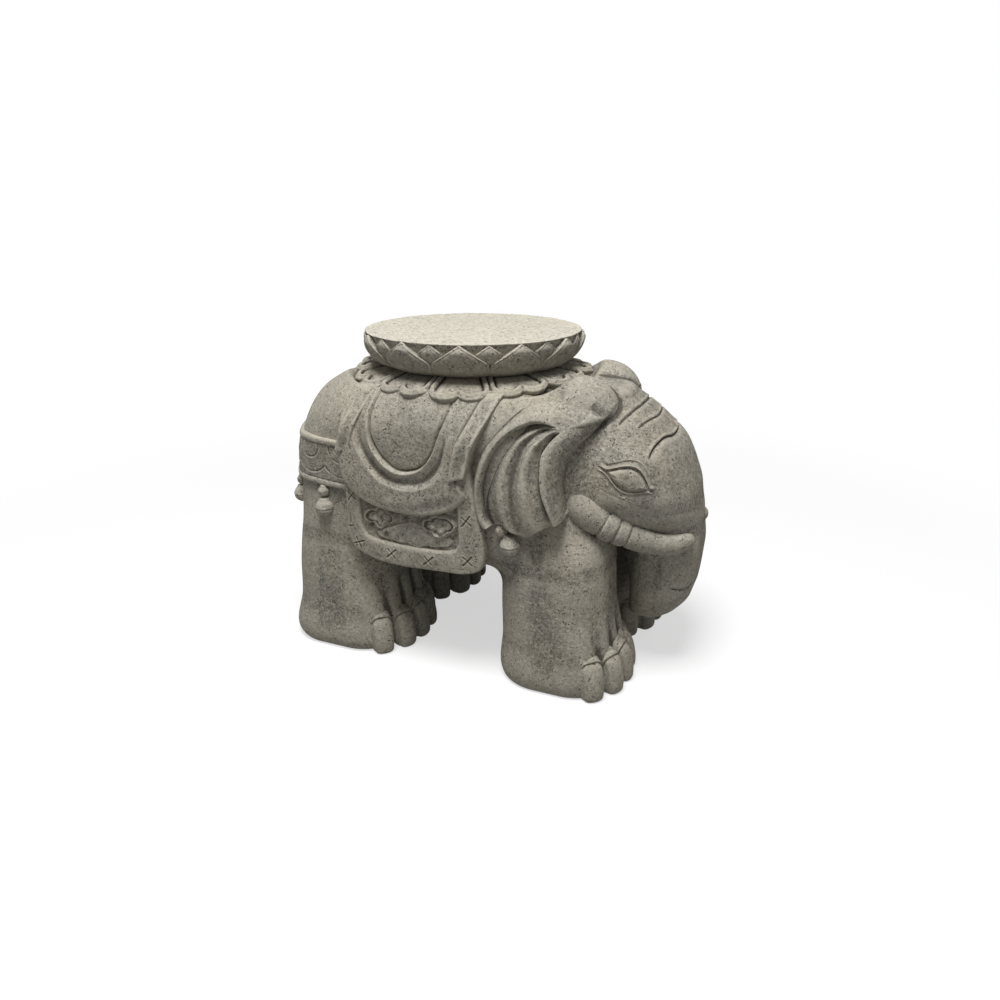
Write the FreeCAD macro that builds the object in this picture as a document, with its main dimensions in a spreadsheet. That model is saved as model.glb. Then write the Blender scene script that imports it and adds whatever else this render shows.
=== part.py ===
"""Carved elephant stool: a lotus seat on the back of a standing elephant.

X runs from tail to trunk, Y to the elephant's left, Z up.  The origin lies on the ground
under the middle of the whole part.  The right side is drawn first and the left side mirrors it.
The seat and its skirt are drawn upward from the skirt's lowest edge, which the torso carries.
"""

import FreeCAD, Part
import math
import os
import Sketcher

from FreeCAD import Placement, Rotation, Vector

os.makedirs("parts", exist_ok=True)
document = FreeCAD.newDocument("ElephantStool")
sheet = document.addObject("Spreadsheet::Sheet", "Sizes")
written = {}


def size(name, value):
    """Write one plain number under its own alias and give the alias back."""
    if name in written:
        raise ValueError("the size " + name + " is written twice")
    row = str(len(written) + 1)
    sheet.set("A" + row, name)
    sheet.set("B" + row, str(value))
    sheet.setAlias("B" + row, name)
    written[name] = value
    return name


def sizes(group, names, values):
    """Write one row of related sizes, each called group_name."""
    for name, value in zip(names, values):
        size(group + "_" + name, value)


# The seat, its heights taken from the lowest edge of the skirt.
size("seat_x", -47)
size("seat_sink", 25)
size("seat_foot", 20)
size("seat_top", 67)
size("seat_bed_height", 97)
SEAT = ("foot", "low", "middle", "high", "rim", "lip", "top")
PROFILE = ("radius", "height")
sizes("seat_foot", ("radius",), (118,))
sizes("seat_low", PROFILE, (133, 26.5))
sizes("seat_middle", PROFILE, (144, 37))
sizes("seat_high", PROFILE, (150.5, 50))
sizes("seat_rim", PROFILE, (152, 59))
sizes("seat_lip", PROFILE, (150.5, 65))
sizes("seat_top", ("radius",), (148,))

# The petals on the seat.
PETAL = ("half_width", "height")
size("petal_count", 12)
size("petal_thickness", 3.5)
size("petal_reach", 60)
size("petal_depth", 115)
sizes("petal_base", PETAL, (29, 20.5))
sizes("petal_side", PETAL, (35.5, 32))
sizes("petal_wide", PETAL, (37, 41))
sizes("petal_slope", PETAL, (21, 55))
size("petal_tip", 63.5)
size("small_petal_thickness", 2.5)
size("small_petal_low", 43)
sizes("small_petal_side", PETAL, (12, 54.5))
size("small_petal_tip", 64)
size("seat_turn_angle", 2.3)
size("half_petal_angle", 15)

# The skirt of lobes under the seat.
size("skirt_thickness", 8)
size("skirt_radius", 172)
size("lobe_radius", 24)
size("lobe_side", 18.5)
size("lobe_reach", 143)
size("lobe_web_radius", 150)
size("lobe_height", 60)

# Joints between the carved sections.
size("head_joint_x", 112)
size("leg_joint", 168)
size("leg_gap_half", 4)
size("front_leg_back_x", 38)
size("rear_leg_front_x", -84)
size("trunk_joint", 205)
size("trunk_back_x", 200)
size("trunk_low", 64)
size("reach", 320)
size("height_reach", 480)

# Dowels in the joints.
size("dowel_radius", 8)
size("dowel_half_length", 34)
size("seat_dowel_radius", 12)
size("head_dowel_side", 52)
size("head_dowel_height", 290)
size("trunk_dowel_x", 248)
size("seat_dowel_depth", 40)
size("seat_dowel_rise", 55)

# Layers of cloth.
size("band_thickness", 5)
size("panel_thickness", 9)
size("cloth_thickness", 14)
size("ribbon_thickness", 18)
size("swag_thickness", 22)
size("hem_radius", 26)
size("band_low", 246)
size("band_high", 309)
size("band_front_x", -163)

STATION = ("at", "middle", "half_width", "half_height", "top_radius", "low_radius")
TORSO = ("rump", "haunch_back", "haunch", "loin", "saddle", "shoulder", "neck", "chest")
sizes("torso_rump", STATION, (-289, 250, 60, 52, 45, 45))
sizes("torso_haunch_back", STATION, (-278, 250, 110, 90, 78, 66))
sizes("torso_haunch", STATION, (-240, 262, 146, 114, 92, 78))
sizes("torso_loin", STATION, (-170, 273, 162, 129, 72, 64))
sizes("torso_saddle", STATION, (-47, 277, 168, 131, 62, 60))
sizes("torso_shoulder", STATION, (45, 275, 164, 129, 72, 62))
sizes("torso_neck", STATION, (115, 268, 144, 118, 88, 80))
sizes("torso_chest", STATION, (172, 256, 106, 90, 76, 70))

LEVEL = ("at", "x", "y", "half_length", "half_width", "radius")
LEG = ("sole", "ball", "ankle", "shin", "knee", "thigh")
sizes("front_leg_sole", LEVEL, (0, 132, -94, 80, 82, 62))
sizes("front_leg_ball", LEVEL, (16, 131, -94, 83, 85, 64))
sizes("front_leg_ankle", LEVEL, (62, 124, -92, 75, 80, 62))
sizes("front_leg_shin", LEVEL, (118, 120, -90, 74, 76, 60))
sizes("front_leg_knee", LEVEL, (178, 118, -86, 70, 74, 58))
sizes("front_leg_thigh", LEVEL, (250, 100, -76, 56, 61, 50))
sizes("rear_leg_sole", LEVEL, (0, -197, -94, 85, 83, 62))
sizes("rear_leg_ball", LEVEL, (16, -198, -95, 90, 86, 64))
sizes("rear_leg_ankle", LEVEL, (62, -199, -91, 82, 82, 62))
sizes("rear_leg_shin", LEVEL, (118, -202, -89, 78, 79, 60))
sizes("rear_leg_knee", LEVEL, (178, -200, -85, 75, 75, 58))
sizes("rear_leg_thigh", LEVEL, (250, -196, -74, 62, 60, 50))

FACE = ("crown", "brow", "forehead", "eye", "cheek", "jaw")
HEAD = FACE + ("trunk_root", "trunk", "trunk_low", "trunk_curl", "trunk_end")
sizes("head_crown", LEVEL, (386, 134, 0, 40, 46, 36))
sizes("head_brow", LEVEL, (374, 125, 0, 65, 75, 60))
sizes("head_forehead", LEVEL, (345, 133, 0, 95, 99, 80))
sizes("head_eye", LEVEL, (310, 146, 0, 116, 116, 98))
sizes("head_cheek", LEVEL, (268, 158, 0, 122, 120, 102))
sizes("head_jaw", LEVEL, (236, 175, 0, 112, 106, 90))
sizes("head_trunk_root", LEVEL, (205, 216, 0, 76, 75, 60))
sizes("head_trunk", LEVEL, (168, 249, 0, 44, 68, 40))
sizes("head_trunk_low", LEVEL, (114, 246, 0, 42, 64, 38))
sizes("head_trunk_curl", LEVEL, (84, 236, 0, 33, 53, 31))
sizes("head_trunk_end", LEVEL, (67, 226, 0, 22, 35, 20))

# The domes of the skull, placed from the brow of the head.
size("dome_forward", 9)
size("dome_side", 56)
size("dome_drop", 16)
size("dome_length", 44)
size("dome_width", 40)
size("dome_height", 47)

# The toes, placed by shares of the ball of the foot: forward, and outward to the right.
TOES = ("outer", "second", "middle", "fourth", "inner")
front_toe_shares = ((0.69, 0.74), (0.905, 0.4), (0.975, 0), (0.915, -0.4), (0.69, -0.76))
rear_toe_shares = ((0.79, 0.72), (1.0, 0.385), (1.065, 0), (1.01, -0.4), (0.79, -0.76))
size("toe_height", 24)
size("toe_half_height", 30)
size("toe_half_length", 17)
size("toe_half_width", 15)

# The right tusk, its places taken from the right cheek of the head.
POINT = ("x", "y", "z", "radius")
TUSK = ("root", "cheek", "ring_back", "ring_front", "shaft", "bend", "tip")
sizes("tusk_root", POINT, (-24, 14, 0, 19))
sizes("tusk_cheek", POINT, (-4, 6, -19, 21))
sizes("tusk_ring_back", POINT, (23, 13, -40, 17.5))
sizes("tusk_ring_front", POINT, (47, 22, -54, 16))
sizes("tusk_shaft", POINT, (79, 36, -69, 13.5))
sizes("tusk_bend", POINT, (106, 51, -74, 11))
sizes("tusk_tip", POINT, (130, 73, -70, 5))
size("ring_height", 2.5)

# The right eye, its place taken from the side of the head.
size("eye_forward", 61)
size("eye_bury", 5)
size("eye_drop", 16)
size("eye_length", 31)
size("eye_width", 10)
size("eye_height", 13)
size("eye_turn_angle", 22)
size("eye_dip_angle", 28)

# The bells, each standing out from the widest part of the torso near it.
BELL = ("x", "out", "z", "radius")
sizes("shoulder_bell_small", BELL, (64, 0, 220, 8))
sizes("shoulder_bell_large", BELL, (76, 2, 202, 13))
sizes("loin_bell_small", BELL, (-206, -1, 236, 8))
sizes("loin_bell_large", BELL, (-205, 1, 213, 13))
sizes("haunch_back_bell_small", BELL, (-275, 15, 233, 7.5))
sizes("haunch_back_bell_large", BELL, (-277, 17, 210, 12.5))

# The tail, its places taken from the middle of the rump.
TAIL = ("root", "rise", "hang", "low", "tuft", "end")
sizes("tail_root", POINT, (21, 0, 96, 15))
sizes("tail_rise", POINT, (4, 0, 56, 11))
sizes("tail_hang", POINT, (0, 0, 6, 8))
sizes("tail_low", POINT, (1, 0, -38, 8))
sizes("tail_tuft", POINT, (5, 0, -66, 12))
sizes("tail_end", POINT, (11, 0, -98, 6))

# Outlines seen from the right side, as runs of points that meet at corners.
size("ear_length", 130)
size("ear_width", 122)
size("ear_height", 136)
size("ear_x", 92)
size("ear_bury", 104)
size("ear_z", 266)
size("ear_inner_side", 50)
OUTLINES = {
    "ear": (
        ((50, 226), (64, 223), (94, 213), (102, 206), (114, 217), (131, 227), (148, 237)),
        ((148, 237), (150, 256), (140, 300), (146, 332), (172, 368)),
        ((172, 368), (156, 394), (118, 400), (84, 384), (52, 356)),
        ((52, 356), (37, 321), (33, 282), (39, 249), (50, 226)),
    ),
    "cloth": (
        ((-161, 300), (-162, 236), (-162, 200), (-157, 172), (-143, 161)),
        ((-143, 161), (-100, 153), (-48, 153), (0, 155), (34, 161)),
        ((34, 161), (44, 176), (43, 200), (34, 235), (26, 300)),
        ((26, 300), (-161, 300)),
    ),
    "panel": (
        ((-138, 300), (-138, 215), (-133, 192), (-126, 186)),
        ((-126, 186), (-83, 183), (-31, 183), (9, 190)),
        ((9, 190), (10, 220), (6, 300)),
        ((6, 300), (-138, 300)),
    ),
    "swag": (
        ((-146, 420), (-164, 348), (-168, 314), (-163, 276), (-144, 250)),
        ((-144, 250), (-117, 237), (-60, 230), (-5, 242), (16, 256)),
        ((16, 256), (24, 300), (24, 350), (26, 420)),
        ((26, 420), (-146, 420)),
    ),
    "basin": (
        ((-104, 420), (-118, 371), (-119, 338), (-103, 306), (-79, 289)),
        ((-79, 289), (-60, 287), (-35, 300), (-18, 336), (2, 420)),
        ((2, 420), (-104, 420)),
    ),
    "rear_ribbon": (
        ((-116, 420), (-130, 380), (-142, 337), (-148, 304)),
        ((-148, 304), (-170, 311)),
        ((-170, 311), (-153, 362), (-128, 420)),
        ((-128, 420), (-116, 420)),
    ),
    "front_ribbon": (
        ((38, 420), (18, 354), (5, 320), (1, 285)),
        ((1, 285), (21, 290)),
        ((21, 290), (28, 310), (35, 343), (51, 380), (60, 420)),
        ((60, 420), (38, 420)),
    ),
}
RUN = "abcd"
for outline, runs in OUTLINES.items():
    for run_number, run in enumerate(runs):
        for point_number, point in enumerate(run[:-1]):
            sizes(outline + "_" + RUN[run_number] + str(point_number), ("x", "z"), point)

# Clouds and mound on the panel.
CLOUD = ("x", "z", "half_length", "half_height")
sizes("cloud_back", CLOUD, (-112, 217, 16, 9))
sizes("cloud_front", CLOUD, (-20, 215, 18, 10))
sizes("cloud_mound", CLOUD, (-64, 200, 38, 11))
size("cloud_out", 5)
size("cloud_rise", 6)
document.recompute()


def value(name):
    """Read a size back from the sheet."""
    return float(sheet.get(name))


def worked(expression):
    """Work out sums and differences of sizes such as Sizes.one - Sizes.two."""
    total = 0.0
    sign = 1
    for term in expression.split():
        if term in "+-":
            sign = 1 if term == "+" else -1
        elif term.startswith("Sizes."):
            total = total + sign * value(term[len("Sizes."):])
        else:
            total = total + sign * float(term)
    return total


def bind(thing, prop, expression):
    """Bind one property to the sheet."""
    thing.setExpression(prop, expression)


def cell(name):
    """Give the words by which an expression names a size."""
    return "Sizes." + name


def new(kind, label):
    """Add one document object with a label of its own."""
    thing = document.addObject(kind, label)
    thing.Label = label
    return thing


def place(thing, x, y, z):
    """Bind the position of one object to three expressions."""
    bind(thing, "Placement.Base.x", x)
    bind(thing, "Placement.Base.y", y)
    bind(thing, "Placement.Base.z", z)


def hold(sketch, name, constraint, words):
    """Add one named constraint to a sketch and bind it to the sheet."""
    sketch.renameConstraint(sketch.addConstraint(constraint), name)
    bind(sketch, "Constraints." + name, words)


def ring_of_lines(sketch, corners):
    """Draw a closed line through the corners, each line joined to the next."""
    count = len(corners)
    for number in range(count):
        line = Part.LineSegment(corners[number], corners[(number + 1) % count])
        sketch.addGeometry(line, False)
    for number in range(count):
        follow = (number + 1) % count
        sketch.addConstraint(Sketcher.Constraint("Coincident", number, 2, follow, 1))


def body_sketch(label, role):
    """Start a body with one empty sketch on the origin plane of the given role."""
    body = new("PartDesign::Body", label)
    plane = [f for f in body.Origin.OriginFeatures if f.Role == role][0]
    sketch = body.newObject("Sketcher::SketchObject", label + "_sketch")
    sketch.AttachmentSupport = [(plane, "")]
    sketch.MapMode = "FlatFace"
    return body, sketch


def section(label, width, height, top, low):
    """Draw a rounded rectangle about the origin, held by named constraints."""
    half_width, half_height = worked(width), worked(height)
    top_radius, low_radius = worked(top), worked(low)
    sketch = new("Sketcher::SketchObject", label)
    right, up = half_width, half_height
    corners = (
        (right - low_radius, low_radius - up, low_radius, -90),
        (right - top_radius, up - top_radius, top_radius, 0),
        (top_radius - right, up - top_radius, top_radius, 90),
        (low_radius - right, low_radius - up, low_radius, 180),
    )
    starts = (
        (low_radius - right, -up, right - low_radius, -up),
        (right, low_radius - up, right, up - top_radius),
        (right - top_radius, up, top_radius - right, up),
        (-right, up - top_radius, -right, low_radius - up),
    )
    for line, corner in zip(starts, corners):
        begin = Vector(line[0], line[1], 0)
        finish = Vector(line[2], line[3], 0)
        sketch.addGeometry(Part.LineSegment(begin, finish), False)
        circle = Part.Circle(Vector(corner[0], corner[1], 0), Vector(0, 0, 1), corner[2])
        first = math.radians(corner[3])
        sketch.addGeometry(Part.ArcOfCircle(circle, first, first + math.pi / 2), False)
    for edge in range(8):
        sketch.addConstraint(Sketcher.Constraint("Tangent", edge, 2, (edge + 1) % 8, 1))
    for edge in (0, 4):
        sketch.addConstraint(Sketcher.Constraint("Horizontal", edge))
        sketch.addConstraint(Sketcher.Constraint("Vertical", edge + 2))
    sketch.addConstraint(Sketcher.Constraint("Equal", 1, 7))
    sketch.addConstraint(Sketcher.Constraint("Equal", 3, 5))
    held = (
        ("right", Sketcher.Constraint("DistanceX", -1, 1, 2, 1, half_width), width),
        ("left", Sketcher.Constraint("DistanceX", 6, 1, -1, 1, half_width), width),
        ("top", Sketcher.Constraint("DistanceY", -1, 1, 4, 1, half_height), height),
        ("bottom", Sketcher.Constraint("DistanceY", 0, 1, -1, 1, half_height), height),
        ("low_corner", Sketcher.Constraint("Radius", 1, low_radius), low),
        ("top_corner", Sketcher.Constraint("Radius", 3, top_radius), top),
    )
    for name, constraint, words in held:
        hold(sketch, name, constraint, words)
    return sketch


def loft(label, sections):
    """Skin a row of sections as one smooth solid."""
    thing = new("Part::Loft", label)
    thing.Sections = sections
    thing.Solid = True
    thing.Ruled = False
    return thing


def torso_form(label, extra, low=""):
    """Loft the torso along X, thicker all round by the named layer where there is one."""
    more = " + " + cell(extra) if extra else ""
    drawn = []
    for name in TORSO:
        key = cell("torso_" + name)
        sketch = section(
            label + "_" + name,
            key + "_half_width" + more,
            key + "_half_height" + more,
            key + "_top_radius" + more,
            cell(low) if low else key + "_low_radius" + more,
        )
        sketch.Placement = Placement(Vector(0, 0, 0), Rotation(Vector(1, 1, 1), 120))
        shift = " - " + cell(extra) if extra and name == TORSO[0] else ""
        place(sketch, key + "_at" + shift, "0", key + "_middle")
        drawn.append(sketch)
    return loft(label, drawn)


def upright_form(label, group, names):
    """Loft a leg or the head with its trunk upward through level sections."""
    drawn = []
    for name in names:
        key = cell(group + "_" + name)
        sketch = section(
            label + "_" + name,
            key + "_half_length",
            key + "_half_width",
            key + "_radius",
            key + "_radius",
        )
        place(sketch, key + "_x", key + "_y", key + "_at")
        drawn.append(sketch)
    return loft(label, drawn)


def mirrored(label, source):
    """Mirror one object to the left side."""
    thing = new("Part::Mirroring", label)
    thing.Source = source
    thing.Base = Vector(0, 0, 0)
    thing.Normal = Vector(0, 1, 0)
    return thing


def cut(label, base, tool):
    """Take one object away from another."""
    thing = new("Part::Cut", label)
    thing.Base = base
    thing.Tool = tool
    return thing


def carve(label, base, tools):
    """Take several objects away from one, in order."""
    for number, tool in enumerate(tools):
        base = cut(label + "_less" + str(number), base, tool)
    return base


def common(label, base, tool):
    """Keep what two objects share."""
    thing = new("Part::Common", label)
    thing.Base = base
    thing.Tool = tool
    return thing


def fuse(label, things):
    """Join several objects."""
    thing = new("Part::MultiFuse", label)
    thing.Shapes = things
    return thing


def box(label, start, end):
    """Draw a box between two corners given as expressions."""
    thing = new("Part::Box", label)
    place(thing, start[0], start[1], start[2])
    bind(thing, "Length", "(" + end[0] + ") - (" + start[0] + ")")
    bind(thing, "Width", "(" + end[1] + ") - (" + start[1] + ")")
    bind(thing, "Height", "(" + end[2] + ") - (" + start[2] + ")")
    return thing


def ball(label, spot, radii):
    """Draw an ellipsoid about a spot with the named half sizes along X, Y and Z."""
    thing = new("Part::Ellipsoid", label)
    bind(thing, "Radius1", cell(radii[2]))
    bind(thing, "Radius2", cell(radii[0]))
    bind(thing, "Radius3", cell(radii[1]))
    place(thing, spot[0], spot[1], spot[2])
    return thing


def shaft(label, group, names, start, grow=""):
    """Loft round sections along a bent line laid out from a start, each square to the line."""
    points = [Vector(*[value(group + "_" + name + "_" + c) for c in "xyz"]) for name in names]
    drawn = []
    for number, name in enumerate(names):
        before = points[max(number - 1, 0)]
        after = points[min(number + 1, len(points) - 1)]
        ring = new("Part::Circle", label + "_" + name)
        facing = Rotation(Vector(0, 1, 0), Vector(0, 0, 0), after - before, "ZXY")
        ring.Placement = Placement(Vector(0, 0, 0), facing)
        key = cell(group + "_" + name)
        bind(ring, "Radius", key + "_radius" + grow)
        spot = [word + " + " + key + "_" + way for word, way in zip(start, "xyz")]
        place(ring, spot[0], spot[1], spot[2])
        drawn.append(ring)
    return loft(label, drawn)


def outline_prism(name, reach):
    """Extrude an outline drawn in the middle plane outward to the right side."""
    runs = OUTLINES[name]
    keys = []
    for letter, run in zip(RUN, runs):
        keys.append([name + "_" + letter + str(number) for number in range(len(run) - 1)])
    edges = []
    for run_number, run in enumerate(keys):
        ends = run + [keys[(run_number + 1) % len(keys)][0]]
        points = [Vector(value(key + "_x"), 0, value(key + "_z")) for key in ends]
        if len(points) == 2:
            edges.append(Part.LineSegment(points[0], points[1]).toShape())
        else:
            curve = Part.BSplineCurve()
            curve.interpolate(points)
            edges.append(curve.toShape())
    face = new("Part::Feature", name + "_outline")
    face.Shape = Part.Face(Part.Wire(edges))
    prism = new("Part::Extrusion", name + "_prism")
    prism.Base = face
    prism.DirMode = "Custom"
    prism.Dir = Vector(0, -1, 0)
    prism.Solid = True
    bind(prism, "LengthFwd", reach)
    return prism


nodes = []


def node(label, thing):
    """Name a finished piece as a node of the part."""
    thing.Label = label
    nodes.append(thing)
    return thing


# The whole stone form before it is parted.
torso_loft = torso_form("torso_form", "")
head_loft = upright_form("head_form", "head", HEAD)
front_leg_loft = upright_form("front_leg_form", "front_leg", LEG)
rear_leg_loft = upright_form("rear_leg_form", "rear_leg", LEG)
front_leg_far = mirrored("front_leg_far", front_leg_loft)
rear_leg_far = mirrored("rear_leg_far", rear_leg_loft)
dome_spot = (
    cell("head_brow_x") + " + " + cell("dome_forward"),
    "-" + cell("dome_side"),
    cell("head_brow_at") + " - " + cell("dome_drop"),
)
dome_near = ball("dome_near", dome_spot, ("dome_length", "dome_width", "dome_height"))
dome_far = mirrored("dome_far", dome_near)
lofts = [torso_loft, head_loft, front_leg_loft, front_leg_far, rear_leg_loft, rear_leg_far]
whole = fuse("whole", lofts + [dome_near, dome_far])

# What parts the stone form: the seat bed, joint boxes, dowel holes.
def turned(label, points):
    """Revolve a closed line of radius and height pairs about the seat axis."""
    body, sketch = body_sketch(label, "XZ_Plane")
    corners = [Vector(worked(radius), worked(height), 0) for radius, height in points]
    ring_of_lines(sketch, corners)
    for number, (radius, height) in enumerate(points):
        if radius == "0":
            sketch.addConstraint(Sketcher.Constraint("PointOnObject", number, 1, -2))
        else:
            along = Sketcher.Constraint("DistanceX", -1, 1, number, 1, corners[number].x)
            hold(sketch, "radius" + str(number), along, radius)
        if height == "0":
            sketch.addConstraint(Sketcher.Constraint("PointOnObject", number, 1, -1))
        else:
            rise = Sketcher.Constraint("DistanceY", -1, 1, number, 1, corners[number].y)
            hold(sketch, "height" + str(number), rise, height)
    spin = body.newObject("PartDesign::Revolution", label + "_turning")
    spin.Profile = (sketch, [""])
    spin.ReferenceAxis = (sketch, ["V_Axis"])
    spin.Angle = 360
    body.Tip = spin
    place(body, cell("seat_x"), "0", seat_base)
    return body


def repeated(label, pads, body, turn):
    """Repeat the pads of a body twelve times about its own upright axis."""
    axis = [f for f in body.Origin.OriginFeatures if f.Role == "Z_Axis"][0]
    pattern = body.newObject("PartDesign::PolarPattern", label + "_repeat")
    pattern.Originals = pads
    pattern.Axis = (axis, [""])
    pattern.Angle = 360
    bind(pattern, "Occurrences", cell("petal_count"))
    body.Tip = pattern
    body.Placement = Placement(Vector(0, 0, 0), Rotation(Vector(0, 0, 1), 1))
    bind(body, "Placement.Rotation.Angle", turn)
    place(body, cell("seat_x"), "0", seat_base)
    return body


def petal_wedges(label, pairs, tip, low, turn):
    """Pad one petal outline away from the seat axis and repeat it round the seat."""
    body, sketch = body_sketch(label, "XZ_Plane")
    bind(sketch, "AttachmentOffset.Base.z", cell("petal_reach"))
    right = [(value(key + "_half_width"), value(key + "_height")) for key in pairs]
    spots = [Vector(x, z, 0) for x, z in right]
    spots.append(Vector(0, value(tip), 0))
    spots.extend(Vector(-x, z, 0) for x, z in reversed(right))
    if low:
        spots.append(Vector(0, value(low), 0))
    ring_of_lines(sketch, spots)
    peak = len(pairs)
    held = []
    for number, key in enumerate(pairs):
        across = Sketcher.Constraint("DistanceX", -1, 1, number, 1, spots[number].x)
        rise = Sketcher.Constraint("DistanceY", -1, 1, number, 1, spots[number].y)
        held.append((key + "_across", across, cell(key + "_half_width")))
        held.append((key + "_rise", rise, cell(key + "_height")))
        other = 2 * peak - number
        sketch.addConstraint(Sketcher.Constraint("Symmetric", number, 1, other, 1, -2))
    points_on_axis = [(peak, tip)]
    if low:
        points_on_axis.append((len(spots) - 1, low))
    for number, key in points_on_axis:
        sketch.addConstraint(Sketcher.Constraint("PointOnObject", number, 1, -2))
        rise = Sketcher.Constraint("DistanceY", -1, 1, number, 1, spots[number].y)
        held.append((key + "_rise", rise, cell(key)))
    for name, constraint, words in held:
        hold(sketch, name, constraint, words)
    pad = body.newObject("PartDesign::Pad", label + "_pad")
    pad.Profile = (sketch, [""])
    bind(pad, "Length", cell("petal_depth"))
    return repeated(label, [pad], body, turn)


def lobe_prisms(label, turn):
    """Pad the two circles of one lobe of the skirt and repeat them round the seat."""
    body, sketch = body_sketch(label, "XY_Plane")
    pads = [lobe_pad(label + "_right", body, sketch, 1)]
    plane = sketch.AttachmentSupport[0][0]
    sketch = body.newObject("Sketcher::SketchObject", label + "_left_sketch")
    sketch.AttachmentSupport = [(plane, "")]
    sketch.MapMode = "FlatFace"
    pads.append(lobe_pad(label + "_left", body, sketch, -1))
    return repeated(label, pads, body, turn)


def lobe_pad(label, body, sketch, way):
    """Pad one circle that stands to one side of the middle of a lobe."""
    centre = Vector(way * value("lobe_side"), -value("lobe_reach"), 0)
    circle = Part.Circle(centre, Vector(0, 0, 1), value("lobe_radius"))
    sketch.addGeometry(circle, False)
    if way > 0:
        across = Sketcher.Constraint("DistanceX", -1, 1, 0, 3, value("lobe_side"))
    else:
        across = Sketcher.Constraint("DistanceX", 0, 3, -1, 1, value("lobe_side"))
    along = Sketcher.Constraint("DistanceY", 0, 3, -1, 1, value("lobe_reach"))
    edge = Sketcher.Constraint("Radius", 0, value("lobe_radius"))
    hold(sketch, "radius", edge, cell("lobe_radius"))
    hold(sketch, "across", across, cell("lobe_side"))
    hold(sketch, "along", along, cell("lobe_reach"))
    pad = body.newObject("PartDesign::Pad", label + "_pad")
    pad.Profile = (sketch, [""])
    bind(pad, "Length", cell("lobe_height"))
    return pad


# The seat and its skirt.
seat_base = cell("torso_saddle_middle") + " + " + cell("torso_saddle_half_height")
seat_base = seat_base + " - " + cell("seat_sink")


def seat_line(extra):
    """List the seat profile, thicker outward by the named layer where there is one."""
    more = " + " + cell(extra) if extra else ""
    line = [("0", cell("seat_foot")), (cell("seat_foot_radius") + more, cell("seat_foot"))]
    for key in SEAT[1:-1]:
        line.append((cell("seat_" + key + "_radius") + more, cell("seat_" + key + "_height")))
    line.append((cell("seat_top_radius") + more, cell("seat_top")))
    line.append(("0", cell("seat_top")))
    return line


skirt_rise = cell("seat_foot") + " - " + cell("skirt_thickness")
foot_radius = cell("seat_foot_radius")
skirt_radius = cell("skirt_radius")
seat_bowl = turned("seat_bowl", seat_line(""))
petal_shell = turned("petal_shell", seat_line("petal_thickness"))
small_shell = turned("small_petal_shell", seat_line("small_petal_thickness"))
skirt_cone = turned(
    "skirt_cone",
    [
        ("0", skirt_rise),
        (foot_radius, skirt_rise),
        (skirt_radius, "0"),
        (skirt_radius, cell("skirt_thickness")),
        (foot_radius, cell("seat_foot")),
        ("0", cell("seat_foot")),
    ],
)
seat_bed = turned(
    "seat_bed",
    [
        ("0", skirt_rise),
        (foot_radius, skirt_rise),
        (skirt_radius, "0"),
        (skirt_radius, cell("seat_bed_height")),
        ("0", cell("seat_bed_height")),
    ],
)
turn = cell("seat_turn_angle")
half_turn = turn + " + " + cell("half_petal_angle")
petal_outline = ["petal_base", "petal_side", "petal_wide", "petal_slope"]
wedges = petal_wedges("petal_wedges", petal_outline, "petal_tip", "", half_turn)
small_wedges = petal_wedges(
    "small_petal_wedges", ["small_petal_side"], "small_petal_tip", "small_petal_low", turn
)
lobe_web = new("Part::Cylinder", "lobe_web")
bind(lobe_web, "Radius", cell("lobe_web_radius"))
bind(lobe_web, "Height", cell("lobe_height"))
place(lobe_web, cell("seat_x"), "0", seat_base)
lobes = fuse("lobes", [lobe_prisms("lobe_prisms", half_turn), lobe_web])


def rod(label, radius, length, axis, spot):
    """Draw a steel dowel along one axis, its middle at the given spot."""
    thing = new("Part::Cylinder", label)
    bind(thing, "Radius", radius)
    bind(thing, "Height", length)
    if axis == "x":
        thing.Placement = Placement(Vector(0, 0, 0), Rotation(Vector(0, 1, 0), 90))
    place(thing, spot[0], spot[1], spot[2])
    return thing


half = cell("dowel_half_length")
full = "2 * " + half
small = cell("dowel_radius")
leg_low = cell("leg_joint") + " - " + half
seat_dowel = rod(
    "seat_dowel",
    cell("seat_dowel_radius"),
    cell("seat_dowel_depth") + " + " + cell("seat_dowel_rise"),
    "z",
    (cell("seat_x"), "0", seat_base + " - " + cell("seat_dowel_depth")),
)
knee_front = ("Sizes.front_leg_knee_x", "Sizes.front_leg_knee_y", leg_low)
knee_rear = ("Sizes.rear_leg_knee_x", "Sizes.rear_leg_knee_y", leg_low)
front_dowel = rod("front_leg_dowel", small, full, "z", knee_front)
rear_dowel = rod("rear_leg_dowel", small, full, "z", knee_rear)
leg_dowels = [front_dowel, rear_dowel]
leg_dowels.append(mirrored("front_dowel_far", front_dowel))
leg_dowels.append(mirrored("rear_dowel_far", rear_dowel))
head_spot = (cell("head_joint_x") + " - " + half, "-" + cell("head_dowel_side"), cell("head_dowel_height"))
head_dowel = rod("head_dowel_near", small, full, "x", head_spot)
head_dowels = [head_dowel, mirrored("head_dowel_far", head_dowel)]
trunk_spot = (cell("trunk_dowel_x"), "0", cell("trunk_joint") + " - " + half)
trunk_dowel = rod("trunk_dowel", small, full, "z", trunk_spot)
leg_dowel_set = fuse("leg_dowel_set", leg_dowels)
head_dowel_set = fuse("head_dowel_set", head_dowels)
holes = fuse("dowel_holes", [seat_dowel, leg_dowel_set, head_dowel_set, trunk_dowel])
taken = fuse("taken_from_stone", [seat_bed, holes])
stone = cut("stone", whole, taken)


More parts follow.
